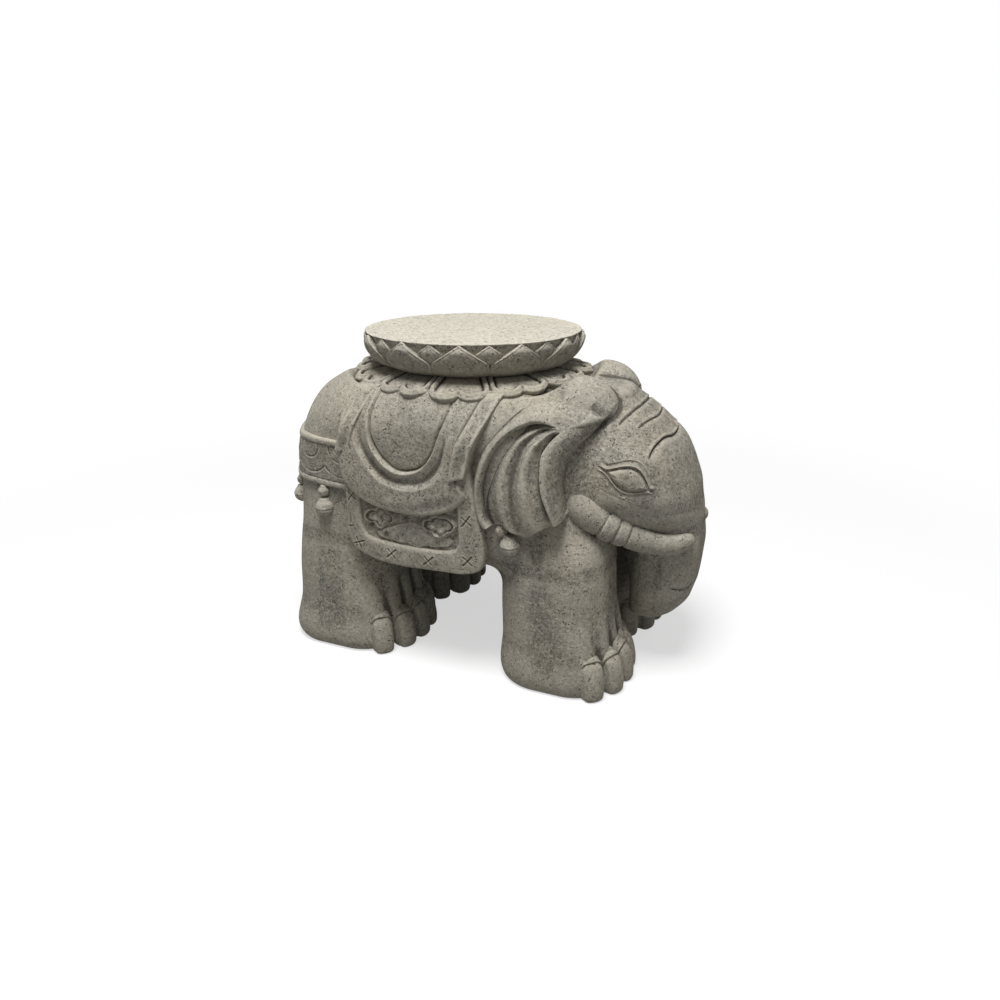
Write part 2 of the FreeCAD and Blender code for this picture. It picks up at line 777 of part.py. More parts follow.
# The stone form parted into its sections.
side = cell("reach")
top = cell("height_reach")
gap = cell("leg_gap_half")
leg_top = cell("leg_joint")
front_box = box("front_leg_box", (cell("front_leg_back_x"), "-" + side, "0"), (side, "-" + gap, leg_top))
rear_box = box("rear_leg_box", ("-" + side, "-" + side, "0"), (cell("rear_leg_front_x"), "-" + gap, leg_top))
front_box_far = mirrored("front_leg_box_far", front_box)
rear_box_far = mirrored("rear_leg_box_far", rear_box)
trunk_start = (cell("trunk_back_x"), "-" + side, cell("trunk_low"))
trunk_box = box("trunk_box", trunk_start, (side, side, cell("trunk_joint")))
head_box = box("head_box", (cell("head_joint_x"), "-" + side, "0"), (side, side, top))
leg_boxes = fuse("leg_boxes", [front_box, rear_box, front_box_far, rear_box_far])
head_tools = fuse("head_tools", [trunk_box, front_box, front_box_far])
torso_tools = fuse("torso_tools", [head_box, leg_boxes])

node("torso", cut("torso_section", stone, torso_tools))
head_block = common("head_block", stone, head_box)
node("head", cut("head_section", head_block, head_tools))
node("trunk", common("trunk_section", stone, trunk_box))
front_leg_block = common("front_leg_block", stone, front_box)
front_leg = node("front_right_leg", cut("front_leg_section", front_leg_block, trunk_box))
rear_leg = node("rear_right_leg", common("rear_leg_section", stone, rear_box))
node("front_left_leg", mirrored("front_leg_mirror", front_leg))
node("rear_left_leg", mirrored("rear_leg_mirror", rear_leg))

# Seat.
node("lotus_seat", cut("lotus_seat_cut", seat_bowl, holes))
petal_blanks = common("petal_blanks", petal_shell, wedges)
node("large_petals", cut("large_petals_cut", petal_blanks, seat_bowl))
small_blanks = common("small_petal_blanks", small_shell, small_wedges)
node("small_petals", carve("small_petals", small_blanks, [seat_bowl, wedges]))
skirt_blank = common("skirt_blank", skirt_cone, lobes)
node("lobed_skirt", cut("skirt_cut", skirt_blank, holes))

# Layers laid over the stone.
ear_spot = (cell("ear_x"), cell("ear_bury") + " - " + cell("torso_shoulder_half_width"), cell("ear_z"))
ear_ball = ball("ear_ball", ear_spot, ("ear_length", "ear_width", "ear_height"))
ear_blank = common("ear_blank", outline_prism("ear", side), ear_ball)
ear_limit = box("ear_limit", ("-" + side, "-" + cell("ear_inner_side"), "0"), (side, side, top))
ear_solid = cut("ear_solid", ear_blank, ear_limit)
node("right_ear", cut("right_ear_cut", ear_solid, whole))
band_form = torso_form("band_form", "band_thickness")
panel_form = torso_form("panel_form", "panel_thickness", "hem_radius")
cloth_form = torso_form("cloth_form", "cloth_thickness", "hem_radius")
ribbon_form = torso_form("ribbon_form", "ribbon_thickness", "hem_radius")
swag_form = torso_form("swag_form", "swag_thickness", "hem_radius")
prisms = {name: outline_prism(name, side) for name in OUTLINES if name != "ear"}


def layer(label, form, prism, others):
    """Cut one layer of cloth to its outline and to everything it lies against."""
    blank = common(label + "_blank", form, prism)
    return node(label, carve(label, blank, others + [seat_bed, whole]))


ribbons = [prisms["front_ribbon"], prisms["rear_ribbon"]]
layer("right_swag", swag_form, prisms["swag"], [prisms["basin"], ear_solid] + ribbons)
layer("right_seat_cloth", panel_form, prisms["basin"], ribbons)
layer("right_rear_ribbon", ribbon_form, prisms["rear_ribbon"], [])
layer("right_front_ribbon", ribbon_form, prisms["front_ribbon"], [ear_solid])
over = [prisms["swag"], prisms["basin"], ear_solid] + ribbons
border = layer("right_cloth_border", cloth_form, prisms["cloth"], [prisms["panel"]] + over)
layer("right_cloth_field", panel_form, prisms["panel"], over)
clouds = []
for name in ("cloud_back", "cloud_front", "cloud_mound"):
    cloud = new("Part::Ellipsoid", name)
    bind(cloud, "Radius1", cell(name + "_half_height"))
    bind(cloud, "Radius2", cell(name + "_half_length"))
    bind(cloud, "Radius3", cell("cloud_rise") + " + " + cell("panel_thickness"))
    cloud_y = "-" + cell("torso_saddle_half_width") + " - " + cell("cloud_out")
    place(cloud, cell(name + "_x"), cloud_y, cell(name + "_z"))
    clouds.append(cloud)
cloud_set = fuse("cloud_set", clouds)
node("right_cloud_relief", carve("clouds", cloud_set, [panel_form, prisms["swag"], border]))
band_start = ("-" + side, "-" + side, cell("band_low"))
band_box = box("band_box", band_start, (cell("band_front_x"), side, cell("band_high")))
tail_start = (cell("torso_rump_at"), "0", cell("torso_rump_middle"))
tail_shaft = shaft("tail_shaft", "tail", TAIL, tail_start)
node("tail", cut("tail_cut", tail_shaft, whole))
band_blank = common("band_blank", band_form, band_box)
band = node("crupper_band", carve("band", band_blank, [whole, tail_shaft]))

# The right tusk with its ring, and the right eye.
tusk_start = (cell("head_cheek_x"), "-" + cell("head_cheek_half_width"), cell("head_cheek_at"))
tusk_shaft = shaft("tusk_shaft", "tusk", TUSK, tusk_start)
node("right_tusk", carve("tusk", tusk_shaft, [whole, ear_solid]))
grow = " + " + cell("ring_height")
ring = shaft("tusk_ring_blank", "tusk", ("ring_back", "ring_front"), tusk_start, grow)
node("right_tusk_ring", carve("ring", ring, [tusk_shaft, whole]))
eye_spot = (
    cell("head_eye_x") + " + " + cell("eye_forward"),
    cell("eye_bury") + " - " + cell("head_eye_half_width"),
    cell("head_eye_at") + " - " + cell("eye_drop"),
)
eye_ball = ball("eye_ball", eye_spot, ("eye_length", "eye_width", "eye_height"))
eye_ball.Placement = Placement(
    eye_ball.Placement.Base, Rotation(value("eye_turn_angle"), value("eye_dip_angle"), 0)
)
node("right_eye", cut("eye_cut", eye_ball, whole))


def bell_pair(station):
    """Draw the small and the large bell that hang near one station of the torso."""
    pair = []
    for kind in ("small", "large"):
        key = cell(station + "_bell_" + kind)
        bell = new("Part::Sphere", station + "_" + kind)
        bind(bell, "Radius", key + "_radius")
        bell_y = "-" + cell("torso_" + station + "_half_width") + " - " + key + "_out"
        place(bell, key + "_x", bell_y, key + "_z")
        pair.append(bell)
    return pair


def toe_set(group, shares):
    """Draw the five toes of one foot about shares of the ball of that foot."""
    ball_of = cell(group + "_leg_ball")
    toes = []
    for name, (forward, outward) in zip(TOES, shares):
        spot = (
            ball_of + "_x + " + str(forward) + " * " + ball_of + "_half_length",
            ball_of + "_y - " + str(outward) + " * " + ball_of + "_half_width",
            cell("toe_height"),
        )
        half_sizes = ("toe_half_length", "toe_half_width", "toe_half_height")
        toes.append(ball(group + "_toe_" + name, spot, half_sizes))
    return fuse(group + "_toe_set", toes)


shoulder_bells = fuse("shoulder_bell_pair", bell_pair("shoulder"))
node("right_shoulder_bells", carve("shoulder_bells", shoulder_bells, [ear_solid, border, whole]))
crupper_bells = fuse("crupper_bell_pairs", bell_pair("loin") + bell_pair("haunch_back"))
node("right_crupper_bells", carve("crupper_bells", crupper_bells, [band, whole]))
below = box("below_ground", ("-" + side, "-" + side, "-" + side), (side, side, "0"))
front_toes = toe_set("front", front_toe_shares)
rear_toes = toe_set("rear", rear_toe_shares)
node("front_right_toes", carve("front_toes", front_toes, [below, whole]))
node("rear_right_toes", carve("rear_toes", rear_toes, [below, whole]))

# The left side, and the dowels.
for thing in list(nodes):
    label = thing.Label
    if label.startswith("right_"):
        node("left_" + label[len("right_"):], mirrored(label + "_mirror", thing))
    elif label.endswith("_right_toes"):
        node(label.replace("right", "left"), mirrored(label + "_mirror", thing))
node("seat_dowel", seat_dowel)
node("leg_dowels", leg_dowel_set)
node("head_dowels", head_dowel_set)
node("trunk_dowel", trunk_dowel)
document.recompute()

for thing in document.Objects:
    if "Invalid" in thing.State or "Error" in thing.State:
        raise RuntimeError(thing.Label + " did not recompute: " + str(thing.State))
for thing in nodes:
    shape = thing.Shape
    if shape.isNull() or not shape.isValid() or not shape.Solids:
        raise RuntimeError("the node " + thing.Label + " has no valid solid")
    shape.exportStep("parts/" + thing.Label + ".step")
    print(thing.Label, len(shape.Solids), round(shape.Volume / 1000, 1))
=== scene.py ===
"""Carved elephant stool: weathered stone elephant with a lotus seat, laid out as an add-on.

The body is one smooth form worked out as a distance field from a few sections, and each stone
piece is a grid of rays cast from that piece's own axis to the field.  The cloth, ears, toes, seat
and bells are grids laid on the same form.  Lengths are millimetres, but metres where a comment
says so, on the stage and in the user's settings.
"""

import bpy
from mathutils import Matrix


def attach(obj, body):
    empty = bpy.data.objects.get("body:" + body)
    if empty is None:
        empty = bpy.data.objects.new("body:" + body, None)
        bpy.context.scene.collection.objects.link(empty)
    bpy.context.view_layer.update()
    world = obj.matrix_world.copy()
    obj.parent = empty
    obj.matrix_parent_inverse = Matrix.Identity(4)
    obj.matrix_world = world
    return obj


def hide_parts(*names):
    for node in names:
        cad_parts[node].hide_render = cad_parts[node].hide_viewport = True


bl_info = {
    "name": "Carved Elephant Stool",
    "version": (1, 0, 0),
    "blender": (4, 5, 0),
    "location": "3D View > Sidebar > Elephant Stool",
    "description": "Builds the carved stone surfaces of an elephant stool round its frame",
    "category": "Object",
}

import math
from collections import namedtuple

import bpy
import numpy as np
from bpy.props import FloatProperty, FloatVectorProperty, PointerProperty
from mathutils import Vector

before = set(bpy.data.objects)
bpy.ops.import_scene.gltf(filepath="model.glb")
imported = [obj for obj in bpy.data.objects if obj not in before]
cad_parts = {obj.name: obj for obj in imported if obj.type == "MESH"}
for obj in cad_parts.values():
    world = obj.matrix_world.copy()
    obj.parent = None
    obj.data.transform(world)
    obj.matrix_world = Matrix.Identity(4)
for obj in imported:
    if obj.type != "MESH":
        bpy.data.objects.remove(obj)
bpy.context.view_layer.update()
MM = 0.001

# Ways that rays and axes point.  The head is at the positive X end, and the right side at negative Y.
AHEAD, BACK = (1, 0, 0), (-1, 0, 0)
RIGHT = (0, -1, 0)
UP, DOWN = (0, 0, 1), (0, 0, -1)

# Sections of the torso along X: place, middle height, half width, half height, corner radii.
TORSO = (
    (-293.5, 250, 6, 6, 5, 5),
    (-292, 250, 26, 24, 22, 22),
    (-288.5, 250, 60, 54, 50, 48),
    (-278, 250, 108, 88, 82, 66),
    (-240, 262, 146, 114, 92, 78),
    (-170, 273, 162, 129, 76, 68),
    (-47, 277, 168, 131, 66, 62),
    (45, 275, 164, 129, 76, 62),
    (115, 268, 144, 118, 88, 80),
    (172, 256, 106, 90, 76, 70),
)
# Level sections: height, middle X, middle Y, half length, half width, corner radius.
FRONT_LEG = (
    (0, 132, -94, 80, 82, 62),
    (16, 131, -94, 83, 85, 64),
    (62, 124, -92, 75, 80, 62),
    (118, 120, -90, 74, 76, 60),
    (178, 118, -86, 70, 74, 58),
    (250, 100, -76, 56, 61, 50),
)
REAR_LEG = (
    (0, -197, -94, 85, 83, 62),
    (16, -198, -95, 90, 86, 64),
    (62, -199, -91, 82, 82, 62),
    (118, -202, -89, 78, 79, 60),
    (178, -200, -85, 75, 75, 58),
    (250, -196, -74, 62, 60, 50),
)
HEAD = (
    (62, 224, 0, 8, 14, 7),
    (67, 226, 0, 22, 35, 20),
    (84, 236, 0, 33, 53, 31),
    (114, 246, 0, 42, 64, 38),
    (168, 249, 0, 44, 68, 40),
    (205, 216, 0, 76, 75, 60),
    (236, 175, 0, 112, 106, 90),
    (268, 158, 0, 122, 120, 102),
    (310, 146, 0, 116, 116, 98),
    (345, 133, 0, 95, 99, 80),
    (374, 125, 0, 65, 75, 60),
    (386, 134, 0, 40, 46, 36),
    (390, 134, 0, 14, 18, 13),
)
DOME = ((131, -59, 359), (52, 45, 47))
# Widths of the fillets where the forms meet; the neck's grows with height between two heights.
LEG_FILLET = 26.0
DOME_FILLET = 4.0
NECK_FILLET = (4.0, 22.0)
NECK_HEIGHTS = (190.0, 250.0)
BED_FILLET = 5.0
# The seat's bed: its height inside a reach, how far it drops over a width, and where it turns up again.
BED_TOP = 395.0
BED_REACH = 118.0
BED_WIDTH = 54.0
BED_DROP = 12.0
BED_EDGE = 169.0
BED_TURN_UP = 1.5
# Joints between the pieces: X of the head's, Z of the legs' and the trunk's, and the sides of the blocks.
HEAD_JOINT = 112
LEG_JOINT = 168
TRUNK_JOINT = 205
TRUNK_BACK = 200
FRONT_LEG_BACK = 38
REAR_LEG_FRONT = -84
LEG_GAP = 4
# A piece runs past its joint by the lap, and sinks there by a share of the way past.
LAP = 8
SINK = 0.06
# How far inside a joint the crevices fade in, from none to all of them.
CALM = (-2.0, -18.0)
# The smallest tilt of a fan of rays, so that its first ring is not a point.
POLE = 0.012
# Starts of the rays of the torso's rump, the skull and the trunk, and the middle of the trunk's curl.
RUMP_HEART = (-170.0, 0.0, 262.0)
SKULL_HEART = (150.0, 0.0, 288.0)
TRUNK_X = 246.0
CURL_START = (236.0, 0.0, 104.0)
CURL_HEART = (TRUNK_X, 0.0, 130.0)

# The seat: the X of its axis, the height of its base, and its profile as radius and height.
SEAT_X = -47.0
SEAT_Z = 383.0
SEAT_PROFILE = (
    (70, 17.5), (112, 17.5), (118, 20), (126, 23), (133, 26.5), (139, 31), (144, 37), (148, 43.5),
    (150.5, 50), (152, 57), (152.2, 62.4), (151.8, 65.7), (151.0, 66.7), (149.6, 67.0),
)
PETAL_TURN = 17.3

# Creases of the forehead and the trunk on the right: points, then depth and half width.
CREASES = (
    (
        ((202, 3, 366), (202, -15, 365), (199, -41, 364), (196, -57, 361), (192, -68, 357), (189, -78, 353)),
        (3.2, 1.5),
    ),
    (
        ((223, 3, 350), (222, -8, 350), (219, -34, 351), (215, -50, 350), (211, -64, 347)),
        (2.4, 1.3),
    ),
    (
        (
            (247, 3, 328), (246, -21, 329), (241, -38, 331), (237, -56, 329), (235, -68, 326),
            (233, -77, 322), (231, -85, 315),
        ),
        (4.2, 1.7),
    ),
)
TRUNK_CREASES = ((((267, -62, 130), (278, -54, 127), (286, -44, 127), (289, -36, 132)), (1.6, 1.3)),)
# Toes: how far forward and outward each stands, as shares of the ball of the foot.
FRONT_TOES = ((0.69, 0.74), (0.905, 0.4), (0.975, 0.0), (0.915, -0.4), (0.69, -0.76))
REAR_TOES = ((0.79, 0.72), (1.0, 0.385), (1.065, 0.0), (1.01, -0.4), (0.79, -0.76))
# Front and rear legs: top and depth of the grooves between the toes, and the swell over each toe.
TENDON_TOP = (96.0, 138.0)
TENDON_DEPTH = (1.4, 3.0)
TOE_SWELL = (5.5, 5.0)

# The right ear: the ellipsoid it follows, the middle its rays start from, and its curves as X and Z.
EAR_BALL = ((92, -60, 266), (130, 122, 136))
EAR_HEART = (112.0, -30.0, 288.0)
EAR_CURVES = (
    (
        (156, 372), (133, 379), (110, 383), (87, 377), (66, 364), (50, 348),
        (37, 327), (30, 304), (27, 277), (27, 252), (31, 233), (39, 222),
    ),
    (
        (137, 357), (127, 359), (113, 361), (97, 359), (82, 352), (69, 342),
        (57, 326), (48, 307), (42, 284), (41, 264), (44, 244), (53, 228),
    ),
    (
        (137, 357), (134, 353), (130, 349), (125, 343), (121, 336), (118, 328),
        (118, 317), (119, 306), (121, 292), (124, 279), (130, 263), (137, 242),
    ),
    (
        (172, 357), (166, 349), (161, 341), (154, 334), (149, 328), (145, 322),
        (140, 310), (138, 297), (137, 285), (138, 272), (140, 259), (142, 244),
    ),
)
# The rows above the curves' start, as a share of their length, and how far the inner curves open there
# in X and Z.  The rows at the lower end that tuck under it.
EAR_ABOVE = 0.13
EAR_OPENED = (27.0, 8.0)
EAR_TUCK_ROWS = 12
# The two flutes, as height, share of the way to the flap, and width.
EAR_FLUTES = ((11.0, 0.31, 0.13), (14.0, 0.69, 0.15))
# How far the ear's lower edge drops below a straight line, by share of the way to the flap.
EAR_POINT = (
    (0.0, 0.17, 0.26, 0.39, 0.5, 0.56, 0.63, 0.74, 0.85, 1.0),
    (0.0, -1.0, 2.6, 9.0, 13.5, 14.5, 11.8, 7.3, 4.0, 0.0),
)


def step(value, low, high):
    """Ease from 0 at low to 1 at high: 3t^2 - 2t^3 of the share t of the way between them."""
    share = np.clip((value - low) / (high - low), 0.0, 1.0)
    return share * share * (3.0 - 2.0 * share)


def bump_at(value, centre, width):
    """A round hill of height 1 about a centre: e^-(t^2) of the distance in widths."""
    return np.exp(-(((value - centre) / width) ** 2))


def ridges(value, rows):
    """A sum of round hills, each with its height, centre and width; a negative one is a groove."""
    return sum(height * bump_at(value, centre, width) for height, centre, width in rows)


def half_round(value, centre, width):
    """A bead of height 1 about a centre: the root of 1 - t^2 of the distance in widths."""
    return np.sqrt(np.clip(1.0 - ((value - centre) / width) ** 2, 0.0, 1.0))


def rounded_edge(inset, reach):
    """Rise from 0 at an edge to 1 a reach inside it: the root of t(2 - t) of the share of the reach."""
    share = np.clip(inset / reach, 0.0, 1.0)
    return np.sqrt(share * (2.0 - share))


def hermite(values, slopes, stops, at):
    """Cubic between each two stops that has the given values and slopes there."""
    gap = np.diff(stops)
    at = np.clip(np.asarray(at, float), stops[0], stops[-1])
    index = np.clip(np.searchsorted(stops, at, side="right") - 1, 0, len(gap) - 1)
    share = ((at - stops[index]) / gap[index])[..., None]
    width = gap[index][..., None]
    rest = 1.0 - share
    result = values[index] * (1.0 + 2.0 * share) * rest * rest
    result = result + values[index + 1] * share * share * (3.0 - 2.0 * share)
    result = result + slopes[index] * width * share * rest * rest
    return result - slopes[index + 1] * width * share * share * rest


def eased(at, stops, values):
    """Smooth line through stops whose slopes are harmonic means, so it never overshoots."""
    stops = np.asarray(stops, float)
    values = np.asarray(values, float)
    flat = values.ndim == 1
    if flat:
        values = values[:, None]
    rise = np.diff(values, axis=0) / np.diff(stops)[:, None]
    slopes = np.zeros_like(values)
    both = rise[:-1] * rise[1:]
    total = rise[:-1] + rise[1:]
    slopes[1:-1] = np.where(both > 0, 2.0 * both / np.where(both > 0, total, 1.0), 0.0)
    slopes[0] = rise[0]
    slopes[-1] = rise[-1]
    result = hermite(values, slopes, stops, at)
    return result[..., 0] if flat else result


def through(points, at, even=False):
    """Smooth curve through points at shares of its length, or of its number of points if even."""
    points = np.asarray(points, float)
    if even:
        stops = np.linspace(0.0, 1.0, len(points))
    else:
        lengths = np.linalg.norm(np.diff(points, axis=0), axis=1)
        stops = np.concatenate([[0.0], np.cumsum(lengths)]) / lengths.sum()
    gap = np.diff(stops)[:, None]
    rise = np.diff(points, axis=0) / gap
    slopes = np.empty_like(points)
    slopes[1:-1] = (rise[:-1] * gap[1:] + rise[1:] * gap[:-1]) / (gap[:-1] + gap[1:])
    slopes[0] = 1.5 * rise[0] - 0.5 * slopes[1] if len(points) > 2 else rise[0]
    slopes[-1] = 1.5 * rise[-1] - 0.5 * slopes[-2] if len(points) > 2 else rise[-1]
    return hermite(points, slopes, stops, at)


def smooth_least(one, two, width):
    """Least of two distances with a fillet: the two are mixed where they differ by under the width."""
    share = np.clip(0.5 + 0.5 * (two - one) / width, 0.0, 1.0)
    return two + (one - two) * share - width * share * (1.0 - share)


def smooth_most(one, two, width):
    """Greatest of two numbers with a fillet: the least of their opposites, turned back."""
    return -smooth_least(-np.asarray(one), -np.asarray(two), width)


def rounded_rectangle(across, up, half_across, half_up, corner):
    """Distance in the plane to a rectangle with round corners: length past the corner's centre."""
    side = np.abs(across) - half_across + corner
    rise = np.abs(up) - half_up + corner
    outside = np.hypot(np.maximum(side, 0.0), np.maximum(rise, 0.0))
    return outside + np.minimum(np.maximum(side, rise), 0.0) - corner


def past_ends(distance, beyond):
    """Round a distance off past the ends of a sweep: the length of its two parts."""
    return np.where(beyond > 0, np.hypot(np.maximum(distance, 0.0), beyond), distance)


def near_line(spots, line):
    """Distance from each spot to a run of straight pieces: the least over the pieces."""
    best = np.full(spots.shape[:-1], 1e9)
    for start, end in zip(line[:-1], line[1:]):
        start = np.asarray(start, float)
        way = np.asarray(end, float) - start
        share = np.clip(((spots - start) @ way) / (way @ way), 0.0, 1.0)
        best = np.minimum(best, np.linalg.norm(spots - start - share[..., None] * way, axis=-1))
    return best


def torso_field(spot):
    """Distance to the torso: rounded rectangles swept along X, their sizes eased between sections."""
    rows = np.asarray(TORSO, float)
    sizes = eased(spot[..., 0], rows[:, 0], rows[:, 1:])
    rise = spot[..., 2] - sizes[..., 0]
    corner = np.where(rise > 0, sizes[..., 3], sizes[..., 4])
    distance = rounded_rectangle(spot[..., 1], rise, sizes[..., 1], sizes[..., 2], corner)
    beyond = np.maximum(rows[0, 0] - spot[..., 0], spot[..., 0] - rows[-1, 0])
    return past_ends(distance, beyond)


def level_field(spot, table):
    """Distance to a leg, or to the head with its trunk: rounded rectangles swept along Z."""
    rows = np.asarray(table, float)
    sizes = eased(spot[..., 2], rows[:, 0], rows[:, 1:])
    along = spot[..., 0] - sizes[..., 0]
    across = spot[..., 1] - sizes[..., 1]
    distance = rounded_rectangle(along, across, sizes[..., 2], sizes[..., 3], sizes[..., 4])
    beyond = np.maximum(rows[0, 0] - spot[..., 2], spot[..., 2] - rows[-1, 0])
    return past_ends(distance, beyond)


def egg_field(spot, centre, half_sizes):
    """Distance to an ellipsoid along the ray from its centre: length times 1 - 1/share."""
    offset = spot - np.asarray(centre, float)
    share = np.linalg.norm(offset / np.asarray(half_sizes, float), axis=-1)
    return np.linalg.norm(offset, axis=-1) * (1.0 - 1.0 / np.maximum(share, 1e-6))


def right_side(spot):
    """The same places mirrored to the right side of the middle plane."""
    mirrored = np.array(spot, float)
    mirrored[..., 1] = -np.abs(mirrored[..., 1])
    return mirrored


def barrel_field(spot):
    """Distance to the torso with its four legs, joined by fillets."""
    near = right_side(spot)
    distance = smooth_least(torso_field(near), level_field(near, FRONT_LEG), LEG_FILLET)
    return smooth_least(distance, level_field(near, REAR_LEG), LEG_FILLET)


def face_field(spot):
    """Distance to the head, its two domes and the trunk."""
    near = right_side(spot)
    return smooth_least(level_field(near, HEAD), egg_field(near, *DOME), DOME_FILLET)


def bed_field(spot):
    """Height above the seat's bed: a shallow cone round the seat's axis that turns up past the collar."""
    reach = np.hypot(spot[..., 0] - SEAT_X, spot[..., 1])
    slope = BED_DROP * np.clip((reach - BED_REACH) / BED_WIDTH, 0.0, 1.0)
    return spot[..., 2] - BED_TOP + slope - BED_TURN_UP * np.maximum(reach - BED_EDGE, 0.0)


def body_field(spot):
    """Distance to the whole carved body, the head joined to the barrel by a fillet high up."""
    width = NECK_FILLET[0] + NECK_FILLET[1] * step(spot[..., 2], *NECK_HEIGHTS)
    whole = smooth_least(barrel_field(spot), face_field(spot), width)
    return smooth_most(whole, bed_field(spot), BED_FILLET)


def parted(distance, beyond):
    """Cut a piece a little past its joint, sunk there so that its neighbour covers it."""
    return np.maximum(distance + SINK * np.maximum(beyond, 0.0), beyond - LAP)


def leg_depth(spot, front):
    """How deep a place lies in the block of the front or rear legs, positive inside."""
    depth = np.minimum(LEG_JOINT - spot[..., 2], np.abs(spot[..., 1]) - LEG_GAP)
    if front:
        return np.minimum(depth, spot[..., 0] - FRONT_LEG_BACK)
    return np.minimum(depth, REAR_LEG_FRONT - spot[..., 0])


# Turns of the light and the strong softening, and the depths in millimetres that count as a crevice.
LIGHT_TURNS = 10
STRONG_TURNS = 60
FINE_DEPTH = 0.8
BROAD_DEPTH = 3.0


def cast(field, start, way, reach, turns=22):
    """Where rays leave a solid: the span that holds the surface is halved again and again."""
    near = np.zeros(way.shape[:-1])
    far = np.full(way.shape[:-1], float(reach))
    for _ in range(turns):
        middle = 0.5 * (near + far)
        inside = field(start + way * middle[..., None]) < 0
        near = np.where(inside, middle, near)
        far = np.where(inside, far, middle)
    return start + way * far[..., None]


def grid_normals(points, wrap):
    """Unit normals of a grid of points: the cross product of its two central differences."""
    along = np.gradient(points, axis=0)
    if wrap:
        across = 0.5 * (np.roll(points, -1, axis=1) - np.roll(points, 1, axis=1))
    else:
        across = np.gradient(points, axis=1)
    normal = np.cross(across, along)
    length = np.linalg.norm(normal, axis=-1, keepdims=True)
    return normal / np.maximum(length, 1e-9)


def softened(points, wrap, turns):
    """A grid of points with each moved to the mean of its neighbours, again and again."""
    soft = points
    for _ in range(turns):
        rows = np.concatenate([soft[:1], soft, soft[-1:]], axis=0)
        soft = 0.5 * soft + 0.25 * (rows[:-2] + rows[2:])
        if wrap:
            soft = 0.5 * soft + 0.25 * (np.roll(soft, 1, axis=1) + np.roll(soft, -1, axis=1))
        else:
            columns = np.concatenate([soft[:, :1], soft, soft[:, -1:]], axis=1)
            soft = 0.5 * soft + 0.25 * (columns[:, :-2] + columns[:, 2:])
    return soft


def crevices(points, wrap, outward):
    """How deep each point lies below the softened grid, from 0 on a ridge to 1 in a crevice.

    The depths below a lightly and a strongly softened grid are added, each by its own measure. The colour
    darkens by them: dirt in the fine crevices, and painted shade in the broad hollows.
    """
    normal = grid_normals(points, wrap) * outward
    light = softened(points, wrap, LIGHT_TURNS)
    strong = softened(light, wrap, STRONG_TURNS)
    fine = np.sum((light - points) * normal, axis=-1) / FINE_DEPTH
    broad = np.sum((strong - points) * normal, axis=-1) / BROAD_DEPTH
    return np.clip(0.5 + 0.5 * (fine + broad), 0.0, 1.0)


def shell(points, wrap, ends, calm=1.0):
    """Close a grid of points into a shell: its vertices, quads, triangles and crevices.

    Each four neighbours make a face.  A wrapped grid is closed by a fan from each end row to its
    end point, an open one by a fan from its whole border to one end point behind it.  Where calm
    is 0, near a hidden cut, the crevices are left out.
    """
    rows, columns = points.shape[:2]
    index = np.arange(rows * columns).reshape(rows, columns)
    wide = np.concatenate([index, index[:, :1]], axis=1) if wrap else index
    quads = np.stack([wide[:-1, :-1], wide[:-1, 1:], wide[1:, 1:], wide[1:, :-1]], axis=-1)
    quads = quads.reshape(-1, 4)
    if wrap:
        loops = [wide[0][::-1], wide[-1]]
    else:
        border = [index[0, ::-1], index[1:, 0], index[-1, 1:], index[-2:0:-1, -1], index[0, -1:]]
        loops = [np.concatenate(border)]
    fans = []
    for number, loop in enumerate(loops):
        tip = np.full(len(loop) - 1, rows * columns + number)
        fans.append(np.stack([loop[:-1], loop[1:], tip], axis=1))
    triangles = np.concatenate(fans)
    vertices = np.concatenate([points.reshape(-1, 3), np.asarray(ends, float).reshape(-1, 3)])
    corners = np.concatenate([quads[:, [0, 1, 2]], quads[:, [0, 2, 3]], triangles])
    a, b, c = (vertices[corners[:, k]] - vertices.mean(axis=0) for k in range(3))
    outward = 1.0 if np.sum(np.cross(a, b) * c) > 0 else -1.0
    if outward < 0:
        quads = quads[:, ::-1]
        triangles = triangles[:, ::-1]
    depth = (0.5 + (crevices(points, wrap, outward) - 0.5) * calm).ravel()
    depth = np.concatenate([depth, np.full(len(vertices) - depth.size, 0.5)])
    return vertices, quads, triangles, depth


def mesh_of(name, shells):
    """Make one mesh of closed shells, with the crevices stored on its points."""
    vertices, quads, triangles, depths = [], [], [], []
    count = 0
    for spots, fours, threes, depth in shells:
        vertices.append(spots)
        quads.append(fours + count)
        triangles.append(threes + count)
        depths.append(depth)
        count += len(spots)
    vertices = np.concatenate(vertices)
    quads = np.concatenate(quads)
    triangles = np.concatenate(triangles)
    mesh = bpy.data.meshes.new(name)
    mesh.vertices.add(len(vertices))
    mesh.vertices.foreach_set("co", (vertices * MM).ravel())
    mesh.loops.add(quads.size + triangles.size)
    mesh.loops.foreach_set("vertex_index", np.concatenate([quads.ravel(), triangles.ravel()]))
    faces = len(quads) + len(triangles)
    mesh.polygons.add(faces)
    starts = np.concatenate([np.arange(len(quads)) * 4, quads.size + np.arange(len(triangles)) * 3])
    mesh.polygons.foreach_set("loop_start", starts)
    mesh.polygons.foreach_set("use_smooth", np.ones(faces, bool))
    mesh.update(calc_edges=True)
    attribute = mesh.attributes.new("crevice", "FLOAT", "POINT")
    attribute.data.foreach_set("value", np.concatenate(depths))
    return mesh


def border_of(shape):
    """Marks the outermost rows and columns of a grid."""
    border = np.zeros(shape, bool)
    border[[0, -1], :] = True
    border[:, [0, -1]] = True
    return border


def mirrored(points):
    """The same grid on the other side of the middle plane."""
    return points * np.array((1.0, -1.0, 1.0))


